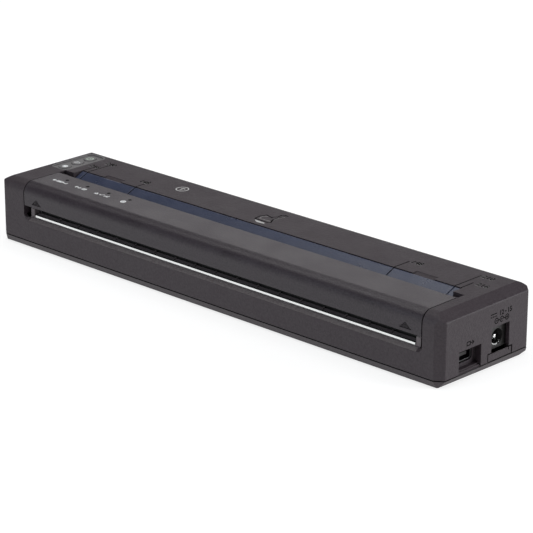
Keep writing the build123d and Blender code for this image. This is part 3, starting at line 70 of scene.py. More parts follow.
# white room: a pale floor lit from within, a sky that is bright at the horizon, and large softboxes
studioSetup = {
    "floorSize": 8.0, "floorCuts": 8, "floorColour": (0.30, 0.30, 0.30), "floorGlow": 0.75,
    "floorRoughness": 0.9, "floorShine": 0.1,
    "skyLow": (0.45, 0.45, 0.455), "skyHigh": (0.12, 0.12, 0.125), "skyRise": 0.55, "skyStrength": 1.0,
    # name, place, aim, width, height, watts, colour
    "softboxes": (
        ("keySoftbox", (-0.15, -1.5, 0.7), (0.1, 0, 0), 1.0, 0.8, 9.2, (0.82, 0.93, 1.0)),
        ("topSoftbox", (0.35, -0.25, 2.2), (0, -0.1, 0), 2.4, 2.4, 28.0, (1.0, 1.0, 1.0)),
        ("bandSoftbox", (-0.49, -0.14, 0.78), (-0.49, -0.14, 0), 0.38, 0.4, 1.4, (1.0, 0.98, 0.98)),
        ("stripSoftbox", (-0.38, 0.27, 0.80), (-0.38, 0.27, 0), 0.4, 0.25, 0.8, (1.0, 1.0, 1.0)),
        ("backSoftbox", (-1.0, 1.52, 0.66), (0, 0, 0.02), 1.3, 0.5, 2.3, (1.0, 0.97, 0.98)),
        ("rightSoftbox", (1.3, 0.9, 0.55), (0.25, 0.15, 0), 1.0, 0.6, 19.0, (0.97, 0.98, 1.0)),
    ),
}


def addFloor(setup):
    cuts = setup["floorCuts"]
    bpy.ops.mesh.primitive_grid_add(x_subdivisions=cuts, y_subdivisions=cuts, size=setup["floorSize"])
    floor = bpy.context.object
    floor.name = "studioFloor"
    paper = bpy.data.materials.new("palePaper")
    paper.use_nodes = True
    shader = paper.node_tree.nodes["Principled BSDF"]
    shader.inputs["Base Color"].default_value = (*setup["floorColour"], 1)
    shader.inputs["Roughness"].default_value = setup["floorRoughness"]
    shader.inputs["Specular IOR Level"].default_value = setup["floorShine"]
    shader.inputs["Emission Color"].default_value = (1, 1, 1, 1)
    shader.inputs["Emission Strength"].default_value = setup["floorGlow"]
    floor.data.materials.append(paper)


def addSoftboxes(boxes):
    for name, place, aim, width, height, watts, colour in boxes:
        bpy.ops.object.light_add(type="AREA", location=place)
        box = bpy.context.object
        box.name = name
        box.data.shape = "RECTANGLE"
        box.data.size = width
        box.data.size_y = height
        box.data.energy = watts
        box.data.color = colour
        box.rotation_euler = (Vector(aim) - Vector(place)).to_track_quat("-Z", "Y").to_euler()


def addSky(setup):
    world = bpy.data.worlds.new("studioWorld")
    world.use_nodes = True
    tree = world.node_tree
    place = tree.nodes.new("ShaderNodeTexCoord")
    split = tree.nodes.new("ShaderNodeSeparateXYZ")
    ramp = tree.nodes.new("ShaderNodeValToRGB")
    ramp.color_ramp.elements[0].position = 0.0
    ramp.color_ramp.elements[0].color = (*setup["skyLow"], 1)
    ramp.color_ramp.elements[1].position = setup["skyRise"]
    ramp.color_ramp.elements[1].color = (*setup["skyHigh"], 1)
    tree.links.new(place.outputs["Generated"], split.inputs["Vector"])
    tree.links.new(split.outputs["Z"], ramp.inputs["Fac"])
    background = tree.nodes["Background"]
    tree.links.new(ramp.outputs["Color"], background.inputs["Color"])
    background.inputs["Strength"].default_value = setup["skyStrength"]
    bpy.context.scene.world = world


addCamera(cameraSetup)
addFloor(studioSetup)
addSoftboxes(studioSetup["softboxes"])
addSky(studioSetup)
bpy.context.scene.view_settings.view_transform = "Standard"
print("camera and studio ready")

# building blocks for the materials; every texture sits on the object's own coordinates, in metres
textureSetup = {
    "bevelSamples": 4, "occlusionShadeSamples": 8, "occlusionShadeRange": (0.15, 0.55), "occlusionShadeTone": 0.15,
    "pebbleContrast": 3.8, "cellSpread": 1.6, "fineShare": 0.6, "roughnessSwing": 0.04,
    "edgeSpread": 1.6, "edgeSharpness": 0.35, "scuffSize": 0.0011, "leastWearAndHighlight": 0.1,
    "stainSize": 0.009, "stainShare": 0.25, "metalSwing": 0.06,
    "dustSize": 0.004, "dustRange": (0.45, 0.8), "rubberEdge": 0.0002, "rubberSwing": (-0.05, 0.1),
    "inkRange": (0.35, 0.6), "inkSwing": 0.08, "inkGrain": 0.00025, "inkGrainDepth": 0.000008,
}


def newMaterial(name):
    material = bpy.data.materials.new(name)
    material.use_nodes = True
    tree = material.node_tree
    place = tree.nodes.new("ShaderNodeTexCoord")
    return material, tree, tree.nodes["Principled BSDF"], place.outputs["Object"]


def noiseOf(tree, place, size, detail=2.0, roughness=0.5, stretch=(1, 1, 1)):
    # size is the width of one grain; a stretch below one draws the grains out along that axis
    mapping = tree.nodes.new("ShaderNodeMapping")
    mapping.inputs["Scale"].default_value = [part / size for part in stretch]
    noise = tree.nodes.new("ShaderNodeTexNoise")
    noise.inputs["Scale"].default_value = 1.0
    noise.inputs["Detail"].default_value = detail
    noise.inputs["Roughness"].default_value = roughness
    tree.links.new(place, mapping.inputs["Vector"])
    tree.links.new(mapping.outputs["Vector"], noise.inputs["Vector"])
    return noise.outputs["Fac"]


def cellsOf(tree, place, size):
    # rounded cells, one size across
    mapping = tree.nodes.new("ShaderNodeMapping")
    mapping.inputs["Scale"].default_value = (1 / size, 1 / size, 1 / size)
    cells = tree.nodes.new("ShaderNodeTexVoronoi")
    cells.feature = "SMOOTH_F1"
    cells.inputs["Scale"].default_value = 1.0
    tree.links.new(place, mapping.inputs["Vector"])
    tree.links.new(mapping.outputs["Vector"], cells.inputs["Vector"])
    return cells.outputs["Distance"]


def rangeOf(tree, value, low, high, fromLow=0.3, fromHigh=0.7):
    node = tree.nodes.new("ShaderNodeMapRange")
    node.inputs["From Min"].default_value = fromLow
    node.inputs["From Max"].default_value = fromHigh
    node.inputs["To Min"].default_value = low
    node.inputs["To Max"].default_value = high
    tree.links.new(value, node.inputs["Value"])
    return node.outputs["Result"]


def blendOf(tree, factor, first, second):
    node = tree.nodes.new("ShaderNodeMix")
    node.data_type = "RGBA"
    tree.links.new(factor, node.inputs["Factor"])
    for socket, colour in ((node.inputs["A"], first), (node.inputs["B"], second)):
        if isinstance(colour, tuple):
            socket.default_value = (*colour, 1)
        else:
            tree.links.new(colour, socket)
    return node.outputs["Result"]


def bumpOf(tree, height, depth, under=None):
    node = tree.nodes.new("ShaderNodeBump")
    node.inputs["Strength"].default_value = 1.0
    node.inputs["Distance"].default_value = depth
    tree.links.new(height, node.inputs["Height"])
    if under is not None:
        tree.links.new(under, node.inputs["Normal"])
    return node.outputs["Normal"]


def softEdge(tree, radius):
    node = tree.nodes.new("ShaderNodeBevel")
    node.samples = textureSetup["bevelSamples"]
    node.inputs["Radius"].default_value = radius
    return node.outputs["Normal"]


def edgeMask(tree, radius, sharpness):
    # one where the surface turns a corner, nought on the flat
    bevel = softEdge(tree, radius)
    shape = tree.nodes.new("ShaderNodeNewGeometry")
    dot = tree.nodes.new("ShaderNodeVectorMath")
    dot.operation = "DOT_PRODUCT"
    tree.links.new(bevel, dot.inputs[0])
    tree.links.new(shape.outputs["True Normal"], dot.inputs[1])
    return rangeOf(tree, dot.outputs["Value"], 1.0, 0.0, 1 - sharpness, 1.0)


def occlusionShadeMask(tree, reach):
    # one where other surfaces close in, as in a joint or a slot; it paints shade there, since little light
    # reaches such places
    node = tree.nodes.new("ShaderNodeAmbientOcclusion")
    node.samples = textureSetup["occlusionShadeSamples"]
    node.inputs["Distance"].default_value = reach
    return rangeOf(tree, node.outputs["AO"], 1.0, 0.0, *textureSetup["occlusionShadeRange"])


def combineOf(tree, operation, first, second):
    node = tree.nodes.new("ShaderNodeMath")
    node.operation = operation
    tree.links.new(first, node.inputs[0])
    tree.links.new(second, node.inputs[1])
    return node.outputs[0]


def mouldedPlastic(name, look):
    # spark-eroded moulding: pebbles and a fine grain, slow mottling, corners lightened partly as rubbed wear
    # and partly as painted highlight, and joints and recesses darkened and roughened as painted shade from
    # ambient occlusion
    setup = textureSetup
    material, tree, shader, place = newMaterial(name)
    mottle = noiseOf(tree, place, look["mottleSize"], detail=3.0, roughness=0.6)
    grain = noiseOf(tree, place, look["grain"], roughness=0.55)
    cells = cellsOf(tree, place, look["grain"] * setup["cellSpread"])
    tone = blendOf(tree, rangeOf(tree, mottle, 0, 1), look["darker"], look["lighter"])
    pebble = noiseOf(tree, place, look["pebble"], roughness=0.6)
    flecks = rangeOf(tree, pebble, 0, look["speckle"] * setup["pebbleContrast"])
    tone = blendOf(tree, flecks, tone, look["wornAndHighlight"])
    tone = blendOf(tree, rangeOf(tree, grain, 0, look["speckle"]), tone, look["wornAndHighlight"])
    # the lightened corners are partly rubbed wear and partly painted highlight along rounded edges; on the
    # blue guide and the key panel the lighter tone is raised to paint their rim highlights
    corners = edgeMask(tree, look["edge"] * setup["edgeSpread"], setup["edgeSharpness"])
    scuff = noiseOf(tree, place, setup["scuffSize"], roughness=0.6)
    wearAndHighlight = combineOf(tree, "MULTIPLY", corners, rangeOf(tree, scuff, setup["leastWearAndHighlight"], look["wearAndHighlight"]))
    tone = blendOf(tree, wearAndHighlight, tone, look["wornAndHighlight"])
    # painted shade: where other surfaces close in, the base colour goes towards a small share of the darker
    # tone and the surface turns rough
    occlusionShade = occlusionShadeMask(tree, look["occlusionShade"])
    paintedJointShade = tuple(part * setup["occlusionShadeTone"] for part in look["darker"])
    tree.links.new(blendOf(tree, occlusionShade, tone, paintedJointShade), shader.inputs["Base Color"])
    swing = setup["roughnessSwing"]
    gloss = rangeOf(tree, mottle, look["roughness"] - swing, look["roughness"] + swing)
    tree.links.new(combineOf(tree, "MAXIMUM", gloss, occlusionShade), shader.inputs["Roughness"])
    normal = softEdge(tree, look["edge"])
    normal = bumpOf(tree, pebble, look["pebbleDepth"], normal)
    normal = bumpOf(tree, cells, look["grainDepth"], normal)
    normal = bumpOf(tree, grain, look["grainDepth"] * setup["fineShare"], normal)
    tree.links.new(normal, shader.inputs["Normal"])
    shader.inputs["Specular IOR Level"].default_value = look["shine"]
    return material


def rolledMetal(name, look):
    # streaks run along the strip that the part was cut from
    setup = textureSetup
    material, tree, shader, place = newMaterial(name)
    streaks = noiseOf(tree, place, look["streak"], detail=3.0, roughness=0.6, stretch=look["stretch"])
    stain = noiseOf(tree, place, setup["stainSize"], detail=3.0, roughness=0.6)
    tone = blendOf(tree, rangeOf(tree, streaks, 0, 1), look["darker"], look["lighter"])
    tone = blendOf(tree, rangeOf(tree, stain, 0, setup["stainShare"]), tone, look["darker"])
    tree.links.new(tone, shader.inputs["Base Color"])
    swing = setup["metalSwing"]
    gloss = rangeOf(tree, streaks, look["roughness"] - swing, look["roughness"] + swing)
    tree.links.new(gloss, shader.inputs["Roughness"])
    normal = bumpOf(tree, streaks, look["streakDepth"], softEdge(tree, look["edge"]))
    tree.links.new(normal, shader.inputs["Normal"])
    shader.inputs["Metallic"].default_value = 1.0
    return material


def groundRubber(name, look):
    # ground surface with dust in its pores
    setup = textureSetup
    material, tree, shader, place = newMaterial(name)
    grain = noiseOf(tree, place, look["grain"], detail=4.0, roughness=0.7, stretch=look["stretch"])
    dust = noiseOf(tree, place, setup["dustSize"], detail=4.0, roughness=0.65)
    tone = blendOf(tree, rangeOf(tree, grain, 0, 1), look["darker"], look["lighter"])
    tone = blendOf(tree, rangeOf(tree, dust, 0, look["dusty"], *setup["dustRange"]), tone, look["dust"])
    tree.links.new(tone, shader.inputs["Base Color"])
    gloss = rangeOf(tree, grain, *(look["roughness"] + swing for swing in setup["rubberSwing"]))
    tree.links.new(gloss, shader.inputs["Roughness"])
    normal = bumpOf(tree, grain, look["grainDepth"], softEdge(tree, setup["rubberEdge"]))
    tree.links.new(normal, shader.inputs["Normal"])
    return material


def coatedBoard(name, look):
    # solder mask over copper tracks laid out like brickwork
    material, tree, shader, place = newMaterial(name)
    tracks = tree.nodes.new("ShaderNodeTexBrick")
    tracks.inputs["Scale"].default_value = 1 / look["trackPitch"]
    tracks.inputs["Mortar Size"].default_value = look["trackWidth"]
    tracks.inputs["Color1"].default_value = (0, 0, 0, 1)
    tracks.inputs["Color2"].default_value = (*look["padTone"], 1)
    tracks.inputs["Mortar"].default_value = (1, 1, 1, 1)
    tree.links.new(place, tracks.inputs["Vector"])
    tone = blendOf(tree, tracks.outputs["Color"], look["mask"], look["copper"])
    tree.links.new(tone, shader.inputs["Base Color"])
    gloss = rangeOf(tree, noiseOf(tree, place, look["patch"]), *look["roughness"])
    tree.links.new(gloss, shader.inputs["Roughness"])
    tree.links.new(bumpOf(tree, tracks.outputs["Color"], look["trackDepth"]), shader.inputs["Normal"])
    return material


# the looks: darker and lighter are the tones of the mottling, the third tone that of flecks and of lightened
# corners, which are partly rubbed wear and partly painted highlight along rounded edges;
# speckle and the corner share say how much of it shows, edge is the rounding of corners, and the last entry
# the reach of the painted shade in joints and recesses
plasticLooks = {
    "caseShell": {
        "darker": (0.0126, 0.0061, 0.0102), "lighter": (0.0168, 0.0094, 0.0141),
        "wornAndHighlight": (0.043, 0.035, 0.040), "roughness": 0.55, "shine": 0.41, "grain": 0.00028,
        "grainDepth": 0.000012, "speckle": 0.12, "pebble": 0.0008, "pebbleDepth": 0.00013,
        "mottleSize": 0.014, "edge": 0.00025, "occlusionShade": 0.004, "wearAndHighlight": 0.5,
    },
    # the lower case wears a lighter copy of the case plastic: painted reflection of the pale floor on its
    # down-turned band
    "caseBasePaintedReflection": {
        "darker": (0.0205, 0.0130, 0.0172), "lighter": (0.0265, 0.0178, 0.0232),
        "wornAndHighlight": (0.060, 0.054, 0.058), "roughness": 0.55, "shine": 0.45, "grain": 0.00028,
        "grainDepth": 0.000012, "speckle": 0.10, "pebble": 0.0008, "pebbleDepth": 0.00013,
        "mottleSize": 0.014, "edge": 0.00025, "occlusionShade": 0.003, "wearAndHighlight": 0.5,
    },
    # a grained tone several times lighter than the case plastic, laid on the exit bevel as painted light
    "lipPaintedLight": {
        "darker": (0.044, 0.031, 0.035), "lighter": (0.058, 0.043, 0.047), "wornAndHighlight": (0.13, 0.12, 0.12),
        "roughness": 0.6, "shine": 0.5, "grain": 0.0003, "grainDepth": 0.00002, "speckle": 0.16,
        "pebble": 0.0007, "pebbleDepth": 0.0001, "mottleSize": 0.006, "edge": 0.0001, "occlusionShade": 0.0003,
        "wearAndHighlight": 0.3,
    },
    "coverShell": {
        "darker": (0.0076, 0.0041, 0.0074), "lighter": (0.0114, 0.0068, 0.0111),
        "wornAndHighlight": (0.042, 0.034, 0.041), "roughness": 0.36, "shine": 0.38, "grain": 0.00026,
        "grainDepth": 0.000012, "speckle": 0.14, "pebble": 0.0006, "pebbleDepth": 0.00010,
        "mottleSize": 0.016, "edge": 0.00025, "occlusionShade": 0.002, "wearAndHighlight": 0.5,
    },
    "buttonPanel": {
        "darker": (0.052, 0.049, 0.050), "lighter": (0.064, 0.061, 0.062), "wornAndHighlight": (0.17, 0.165, 0.165),
        "roughness": 0.42, "shine": 0.5, "grain": 0.00022, "grainDepth": 0.000006, "speckle": 0.08,
        "pebble": 0.0012, "pebbleDepth": 0.00003, "mottleSize": 0.01, "edge": 0.0003, "occlusionShade": 0.0008,
        "wearAndHighlight": 0.6,
    },
    "innerBlack": {
        "darker": (0.010, 0.0095, 0.0095), "lighter": (0.015, 0.0142, 0.014), "wornAndHighlight": (0.04, 0.038, 0.037),
        "roughness": 0.5, "shine": 0.45, "grain": 0.0003, "grainDepth": 0.00001, "speckle": 0.1,
        "pebble": 0.0014, "pebbleDepth": 0.00004, "mottleSize": 0.012, "edge": 0.0002, "occlusionShade": 0.0030,
        "wearAndHighlight": 0.4,
    },
    "anodisedBlack": {
        "darker": (0.0022, 0.0021, 0.0022), "lighter": (0.0034, 0.0032, 0.0034), "wornAndHighlight": (0.03, 0.03, 0.03),
        "roughness": 0.45, "shine": 0.4, "grain": 0.0003, "grainDepth": 0.000006, "speckle": 0.05,
        "pebble": 0.0012, "pebbleDepth": 0.00001, "mottleSize": 0.012, "edge": 0.00015, "occlusionShade": 0.0040,
        "wearAndHighlight": 0.15,
    },
    # the exit frame is several times lighter than the case plastic: painted light standing in for the light
    # that falls on the ramp inside the slot
    "exitRampPaintedLight": {
        "darker": (0.078, 0.060, 0.068), "lighter": (0.100, 0.080, 0.090), "wornAndHighlight": (0.10, 0.095, 0.09),
        "roughness": 0.5, "shine": 0.5, "grain": 0.0003, "grainDepth": 0.00001, "speckle": 0.1,
        "pebble": 0.0014, "pebbleDepth": 0.00004, "mottleSize": 0.012, "edge": 0.0002, "occlusionShade": 0.0005,
        "wearAndHighlight": 0.4,
    },
    "guideBlue": {
        "darker": (0.0040, 0.0092, 0.032), "lighter": (0.0070, 0.0142, 0.044), "wornAndHighlight": (0.13, 0.15, 0.23),
        "roughness": 0.30, "shine": 0.52, "grain": 0.0003, "grainDepth": 0.00001, "speckle": 0.03,
        "pebble": 0.0006, "pebbleDepth": 0.00005, "mottleSize": 0.012, "edge": 0.0005, "occlusionShade": 0.0005,
        "wearAndHighlight": 0.5,
    },
    "gearNylon": {
        "darker": (0.60, 0.58, 0.52), "lighter": (0.72, 0.70, 0.64), "wornAndHighlight": (0.8, 0.79, 0.75),
        "roughness": 0.42, "shine": 0.5, "grain": 0.0004, "grainDepth": 0.000005, "speckle": 0.1,
        "pebble": 0.0030, "pebbleDepth": 0.00003, "mottleSize": 0.006, "edge": 0.0001, "occlusionShade": 0.0008,
        "wearAndHighlight": 0.5,
    },
    "lensSmoke": {
        "darker": (0.004, 0.004, 0.005), "lighter": (0.006, 0.006, 0.007), "wornAndHighlight": (0.006, 0.006, 0.006),
        "roughness": 0.7, "shine": 0.04, "grain": 0.0006, "grainDepth": 0.000002, "speckle": 0.05,
        "pebble": 0.0020, "pebbleDepth": 0.00001, "mottleSize": 0.004, "edge": 0.0001, "occlusionShade": 0.0004,
        "wearAndHighlight": 0.3,
    },
    "ceramicGlaze": {
        "darker": (0.62, 0.62, 0.60), "lighter": (0.72, 0.72, 0.70), "wornAndHighlight": (0.8, 0.8, 0.8),
        "roughness": 0.2, "shine": 0.6, "grain": 0.0005, "grainDepth": 0.000002, "speckle": 0.1,
        "pebble": 0.0040, "pebbleDepth": 0.00001, "mottleSize": 0.01, "edge": 0.0001, "occlusionShade": 0.0008,
        "wearAndHighlight": 0.4,
    },
}
metalLooks = {
    "platedSteel": {
        "darker": (0.40, 0.40, 0.41), "lighter": (0.60, 0.60, 0.61), "roughness": 0.34, "streak": 0.0003,
        "stretch": (0.06, 1, 1), "streakDepth": 0.000004, "edge": 0.0001,
    },
    "polishedSteel": {
        "darker": (0.76, 0.775, 0.77), "lighter": (0.87, 0.885, 0.88), "roughness": 0.22, "streak": 0.0002,
        "stretch": (0.03, 1, 1), "streakDepth": 0.000001, "edge": 0.00012,
    },
    "blackenedSteel": {
        "darker": (0.05, 0.05, 0.052), "lighter": (0.12, 0.12, 0.125), "roughness": 0.36, "streak": 0.0003,
        "stretch": (1, 1, 1), "streakDepth": 0.000003, "edge": 0.0001,
    },
    "platedBrass": {
        "darker": (0.62, 0.45, 0.18), "lighter": (0.82, 0.62, 0.30), "roughness": 0.28, "streak": 0.0003,
        "stretch": (1, 1, 0.1), "streakDepth": 0.000002, "edge": 0.0001,
    },
    "temperedSpring": {
        "darker": (0.30, 0.30, 0.32), "lighter": (0.48, 0.48, 0.50), "roughness": 0.3, "streak": 0.0003,
        "stretch": (1, 0.06, 1), "streakDepth": 0.000003, "edge": 0.0001,
    },
}
rubberLooks = {
    "platenRubber": {
        "darker": (0.018, 0.018, 0.019), "lighter": (0.03, 0.03, 0.031), "dust": (0.09, 0.09, 0.09),
        "dusty": 0.25, "roughness": 0.6, "grain": 0.0003, "stretch": (1, 0.4, 0.4), "grainDepth": 0.00001,
    },
    "footRubber": {
        "darker": (0.014, 0.014, 0.014), "lighter": (0.024, 0.023, 0.023), "dust": (0.10, 0.095, 0.09),
        "dusty": 0.4, "roughness": 0.72, "grain": 0.0005, "stretch": (1, 1, 1), "grainDepth": 0.00003,
    },
}
boardLook = {
    "mask": (0.012, 0.085, 0.035), "copper": (0.03, 0.16, 0.06), "padTone": (0.3, 0.3, 0.3),
    "trackPitch": 0.004, "trackWidth": 0.05, "trackDepth": 0.00003,
    "patch": 0.0015, "roughness": (0.25, 0.4),
}
# which finish each piece of the frame wears
nodeFinishes = {
    "caseShell": ("upper_housing", "battery_panel", "jack_sill"),
    "caseBasePaintedReflection": ("lower_case",),
    "coverShell": ("release_cover",),
    "buttonPanel": ("button_panel", "button_function", "button_feed", "button_power"),
    "exitRampPaintedLight": ("exit_frame",),
    "anodisedBlack": ("head_heat_sink",),
    "innerBlack": (
        "head_driver_cover", "usb_tongue", "jack_body", "paper_sensor", "battery_case", "battery_bay",
    ),
    "guideBlue": ("paper_guide",),
    "gearNylon": ("platen_bush_left", "platen_bush_right", "platen_gear", "idler_gear"),
    "lensSmoke": ("indicator_lenses",),
    "ceramicGlaze": ("head_substrate",),
    "platedSteel": (
        "hinge_pin_left", "hinge_pin_right", "chassis_plate", "side_frame_left", "side_frame_right",
        "platen_shaft", "idler_shaft", "motor_body",
    ),
    "blackenedSteel": ("usb_shell",),
    "polishedSteel": ("tear_bar", "jack_pin", "jack_contact"),
    "platedBrass": ("motor_pinion", "battery_contacts"),
    "temperedSpring": ("head_springs",),
    "platenRubber": ("platen_rubber",),
    "footRubber": ("rubber_feet",),
    "circuitBoard": ("main_board", "switch_board"),
}
looksByMaker = ((mouldedPlastic, plasticLooks), (rolledMetal, metalLooks), (groundRubber, rubberLooks))
finishes = {}
for makeFinish, looks in looksByMaker:
    for finishName, look in looks.items():
        finishes[finishName] = makeFinish(finishName, look)
finishes["circuitBoard"] = coatedBoard("circuitBoard", boardLook)
for finishName, nodeNames in nodeFinishes.items():
    for nodeName in nodeNames:
        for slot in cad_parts[nodeName].material_slots:
            slot.material = finishes[finishName]
print("finishes given to", sum(len(names) for names in nodeFinishes.values()), "nodes")

# marks are modelled flat, in millimetres, and then laid on the face that carries them
markSetup = {
    "cornerShare": 0.42, "cornerSteps": 3, "ringSteps": 48, "dotSteps": 24,
    "capitalShare": 0.7, "boldShare": 0.045, "letterSteps": 3,
}


def cleanSelection():
    bpy.ops.object.select_all(action="DESELECT")


def pickOnly(piece):
    cleanSelection()
    piece.select_set(True)
    bpy.context.view_layer.objects.active = piece


def applyPlace(piece):
    pickOnly(piece)
    bpy.ops.object.transform_apply(location=True, rotation=True, scale=True)


def giveFinish(piece, finishName):
    piece.data.materials.clear()
    piece.data.materials.append(finishes[finishName])
    for polygon in piece.data.polygons:
        polygon.material_index = 0


def flatStroke(start, end, width):
    # a rounded stroke between two points
    (x0, y0), (x1, y1) = start, end
    middle = ((x0 + x1) / 2 * mm, (y0 + y1) / 2 * mm, 0)
    cleanSelection()
    bpy.ops.mesh.primitive_plane_add(size=1, location=middle, rotation=(0, 0, math.atan2(y1 - y0, x1 - x0)))
    stroke = bpy.context.object
    stroke.scale = ((math.hypot(x1 - x0, y1 - y0) + width) * mm, width * mm, 1)
    applyPlace(stroke)
    corner = width * markSetup["cornerShare"] * mm
    bpy.ops.object.mode_set(mode="EDIT")
    bpy.ops.mesh.select_all(action="SELECT")
    bpy.ops.mesh.bevel(offset=corner, segments=markSetup["cornerSteps"], affect="VERTICES")
    bpy.ops.object.mode_set(mode="OBJECT")
    return [stroke]


def flatPath(points, width, closed=False):
    ends = [*points[1:], points[0]] if closed else points[1:]
    strokes = []
    for start, end in zip(points, ends):
        strokes += flatStroke(start, end, width)
    return strokes


def flatRing(centre, radius, width, gap):
    # a ring of even width; the faces between the two gap angles are taken out
    outer = (radius + width / 2) * mm
    cleanSelection()
    bpy.ops.mesh.primitive_circle_add(vertices=markSetup["ringSteps"], radius=outer, fill_type="NGON")
    ring = bpy.context.object
    bpy.ops.object.mode_set(mode="EDIT")
    bpy.ops.mesh.select_mode(type="FACE")
    bpy.ops.mesh.select_all(action="SELECT")
    bpy.ops.mesh.inset(thickness=width * mm)
    bpy.ops.mesh.delete(type="FACE")
    bpy.ops.mesh.select_all(action="DESELECT")
    bpy.ops.object.mode_set(mode="OBJECT")
    for face in ring.data.polygons:
        bearing = math.degrees(math.atan2(face.center.y, face.center.x)) % 360
        face.select = gap[0] < bearing < gap[1]
    if gap[1] > gap[0]:
        bpy.ops.object.mode_set(mode="EDIT")
        bpy.ops.mesh.delete(type="FACE")
        bpy.ops.object.mode_set(mode="OBJECT")
    ring.location = (centre[0] * mm, centre[1] * mm, 0)
    applyPlace(ring)
    return [ring]


def flatDot(centre, radius):
    place = (centre[0] * mm, centre[1] * mm, 0)
    steps = markSetup["dotSteps"]
    cleanSelection()
    bpy.ops.mesh.primitive_circle_add(vertices=steps, radius=radius * mm, fill_type="NGON", location=place)
    dot = bpy.context.object
    applyPlace(dot)
    return [dot]


def flatShape(points):
    # a filled outline with a corner at each point
    cleanSelection()
    bpy.ops.mesh.primitive_circle_add(vertices=len(points), radius=mm, fill_type="NGON")
    shape = bpy.context.object
    for vertex, (x, y) in zip(shape.data.vertices, points):
        vertex.co = (x * mm, y * mm, 0)
    return [shape]


def flatNumber(text, centre, height):
    cleanSelection()
    bpy.ops.object.text_add(location=(centre[0] * mm, centre[1] * mm, 0))
    number = bpy.context.object
    number.data.body = text
    number.data.size = height / markSetup["capitalShare"] * mm
    number.data.align_x = "CENTER"
    number.data.align_y = "CENTER"
    number.data.resolution_u = markSetup["letterSteps"]
    number.data.offset = height * markSetup["boldShare"] * mm
    bpy.ops.object.convert(target="MESH")
    applyPlace(number)
    return [bpy.context.object]


def drawSign(shapes, pen):
    # kinds: line, path, loop, ring, dot and number; a line or a ring may have a width of its own
    strokes = []
    for kind, *values in shapes:
        if kind == "line":
            start, end, width = (*values, pen)[:3]
            strokes += flatStroke(start, end, width)
        elif kind in ("path", "loop"):
            strokes += flatPath(values, pen, kind == "loop")
        elif kind == "ring":
            centre, radius, width, gap = values
            strokes += flatRing(centre, radius, width or pen, gap)
        elif kind == "dot":
            strokes += flatDot(*values)
        else:
            strokes += flatNumber(*values)
    return strokes


def layMark(name, strokes, face, thickness, finishName, body):
    # face: the point under the mark's origin, then the directions of its width and its height
    cleanSelection()
    for stroke in strokes:
        stroke.select_set(True)
    bpy.context.view_layer.objects.active = strokes[0]
    bpy.ops.object.join()
    mark = bpy.context.object
    mark.name = mark.data.name = name
    bpy.ops.object.mode_set(mode="EDIT")
    bpy.ops.mesh.select_all(action="SELECT")
    bpy.ops.mesh.normals_make_consistent(inside=False)
    bpy.ops.object.mode_set(mode="OBJECT")
    if mark.data.polygons[0].normal.z < 0:
        bpy.ops.object.mode_set(mode="EDIT")
        bpy.ops.mesh.flip_normals()
        bpy.ops.object.mode_set(mode="OBJECT")
    solid = mark.modifiers.new("thickness", "SOLIDIFY")
    solid.thickness = 2 * thickness * mm
    solid.offset = 0
    bpy.ops.object.modifier_apply(modifier="thickness")
    origin, across, upward = (Vector(part) for part in face)
    turn = Matrix((across, upward, across.cross(upward))).transposed().to_4x4()
    mark.matrix_world = Matrix.Translation(origin * mm) @ turn
    applyPlace(mark)
    giveFinish(mark, finishName)
    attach(mark, body)


def inkMaterial(name, look):
    # a thin printed or pressed layer: uneven cover, a little grain of the plastic showing through
    setup = textureSetup
    material, tree, shader, place = newMaterial(name)
    cover = noiseOf(tree, place, look["patch"], detail=3.0, roughness=0.65)
    tone = blendOf(tree, rangeOf(tree, cover, 0, 1, *setup["inkRange"]), look["thin"], look["full"])
    tree.links.new(tone, shader.inputs["Base Color"])
    gloss = rangeOf(tree, cover, look["roughness"] + setup["inkSwing"], look["roughness"])
    tree.links.new(gloss, shader.inputs["Roughness"])
    normal = bumpOf(tree, noiseOf(tree, place, setup["inkGrain"]), setup["inkGrainDepth"])
    tree.links.new(normal, shader.inputs["Normal"])
    shader.inputs["Specular IOR Level"].default_value = look["shine"]
    return material


inkLooks = {
    "whitePrint": {
        "thin": (0.55, 0.56, 0.56), "full": (0.80, 0.82, 0.82), "patch": 0.0005, "roughness": 0.5,
        "shine": 0.4,
    },
    "greyPrint": {
        "thin": (0.34, 0.34, 0.335), "full": (0.46, 0.46, 0.45), "patch": 0.0006, "roughness": 0.5,
        "shine": 0.4,
    },
    "greenPrint": {
        "thin": (0.42, 0.56, 0.42), "full": (0.58, 0.70, 0.58), "patch": 0.0006, "roughness": 0.5,
        "shine": 0.4,
    },
    "engravedShade": {
        "thin": (0.007, 0.0065, 0.0065), "full": (0.004, 0.004, 0.004), "patch": 0.0008, "roughness": 0.9,
        "shine": 0.04,
    },
    "engravedLight": {
        "thin": (0.16, 0.155, 0.15), "full": (0.30, 0.30, 0.29), "patch": 0.0008, "roughness": 0.45,
        "shine": 0.5,
    },
}
for inkName, look in inkLooks.items():
    finishes[inkName] = inkMaterial(inkName, look)

# heights and faces that carry the marks, in millimetres
inkLift = 0.012    # how far a mark stands proud of its face
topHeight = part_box("upper_housing")[1].z / mm
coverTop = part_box("release_cover")[1].z / mm
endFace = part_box("upper_housing")[1].x / mm


def upAt(x, y, z):
    # a mark seen from above
    return (x, y, z), (1, 0, 0), (0, 1, 0)


def rightAt(x, y, z):
    # a mark seen from the right end
    return (x, y, z), (0, 1, 0), (0, 0, 1)


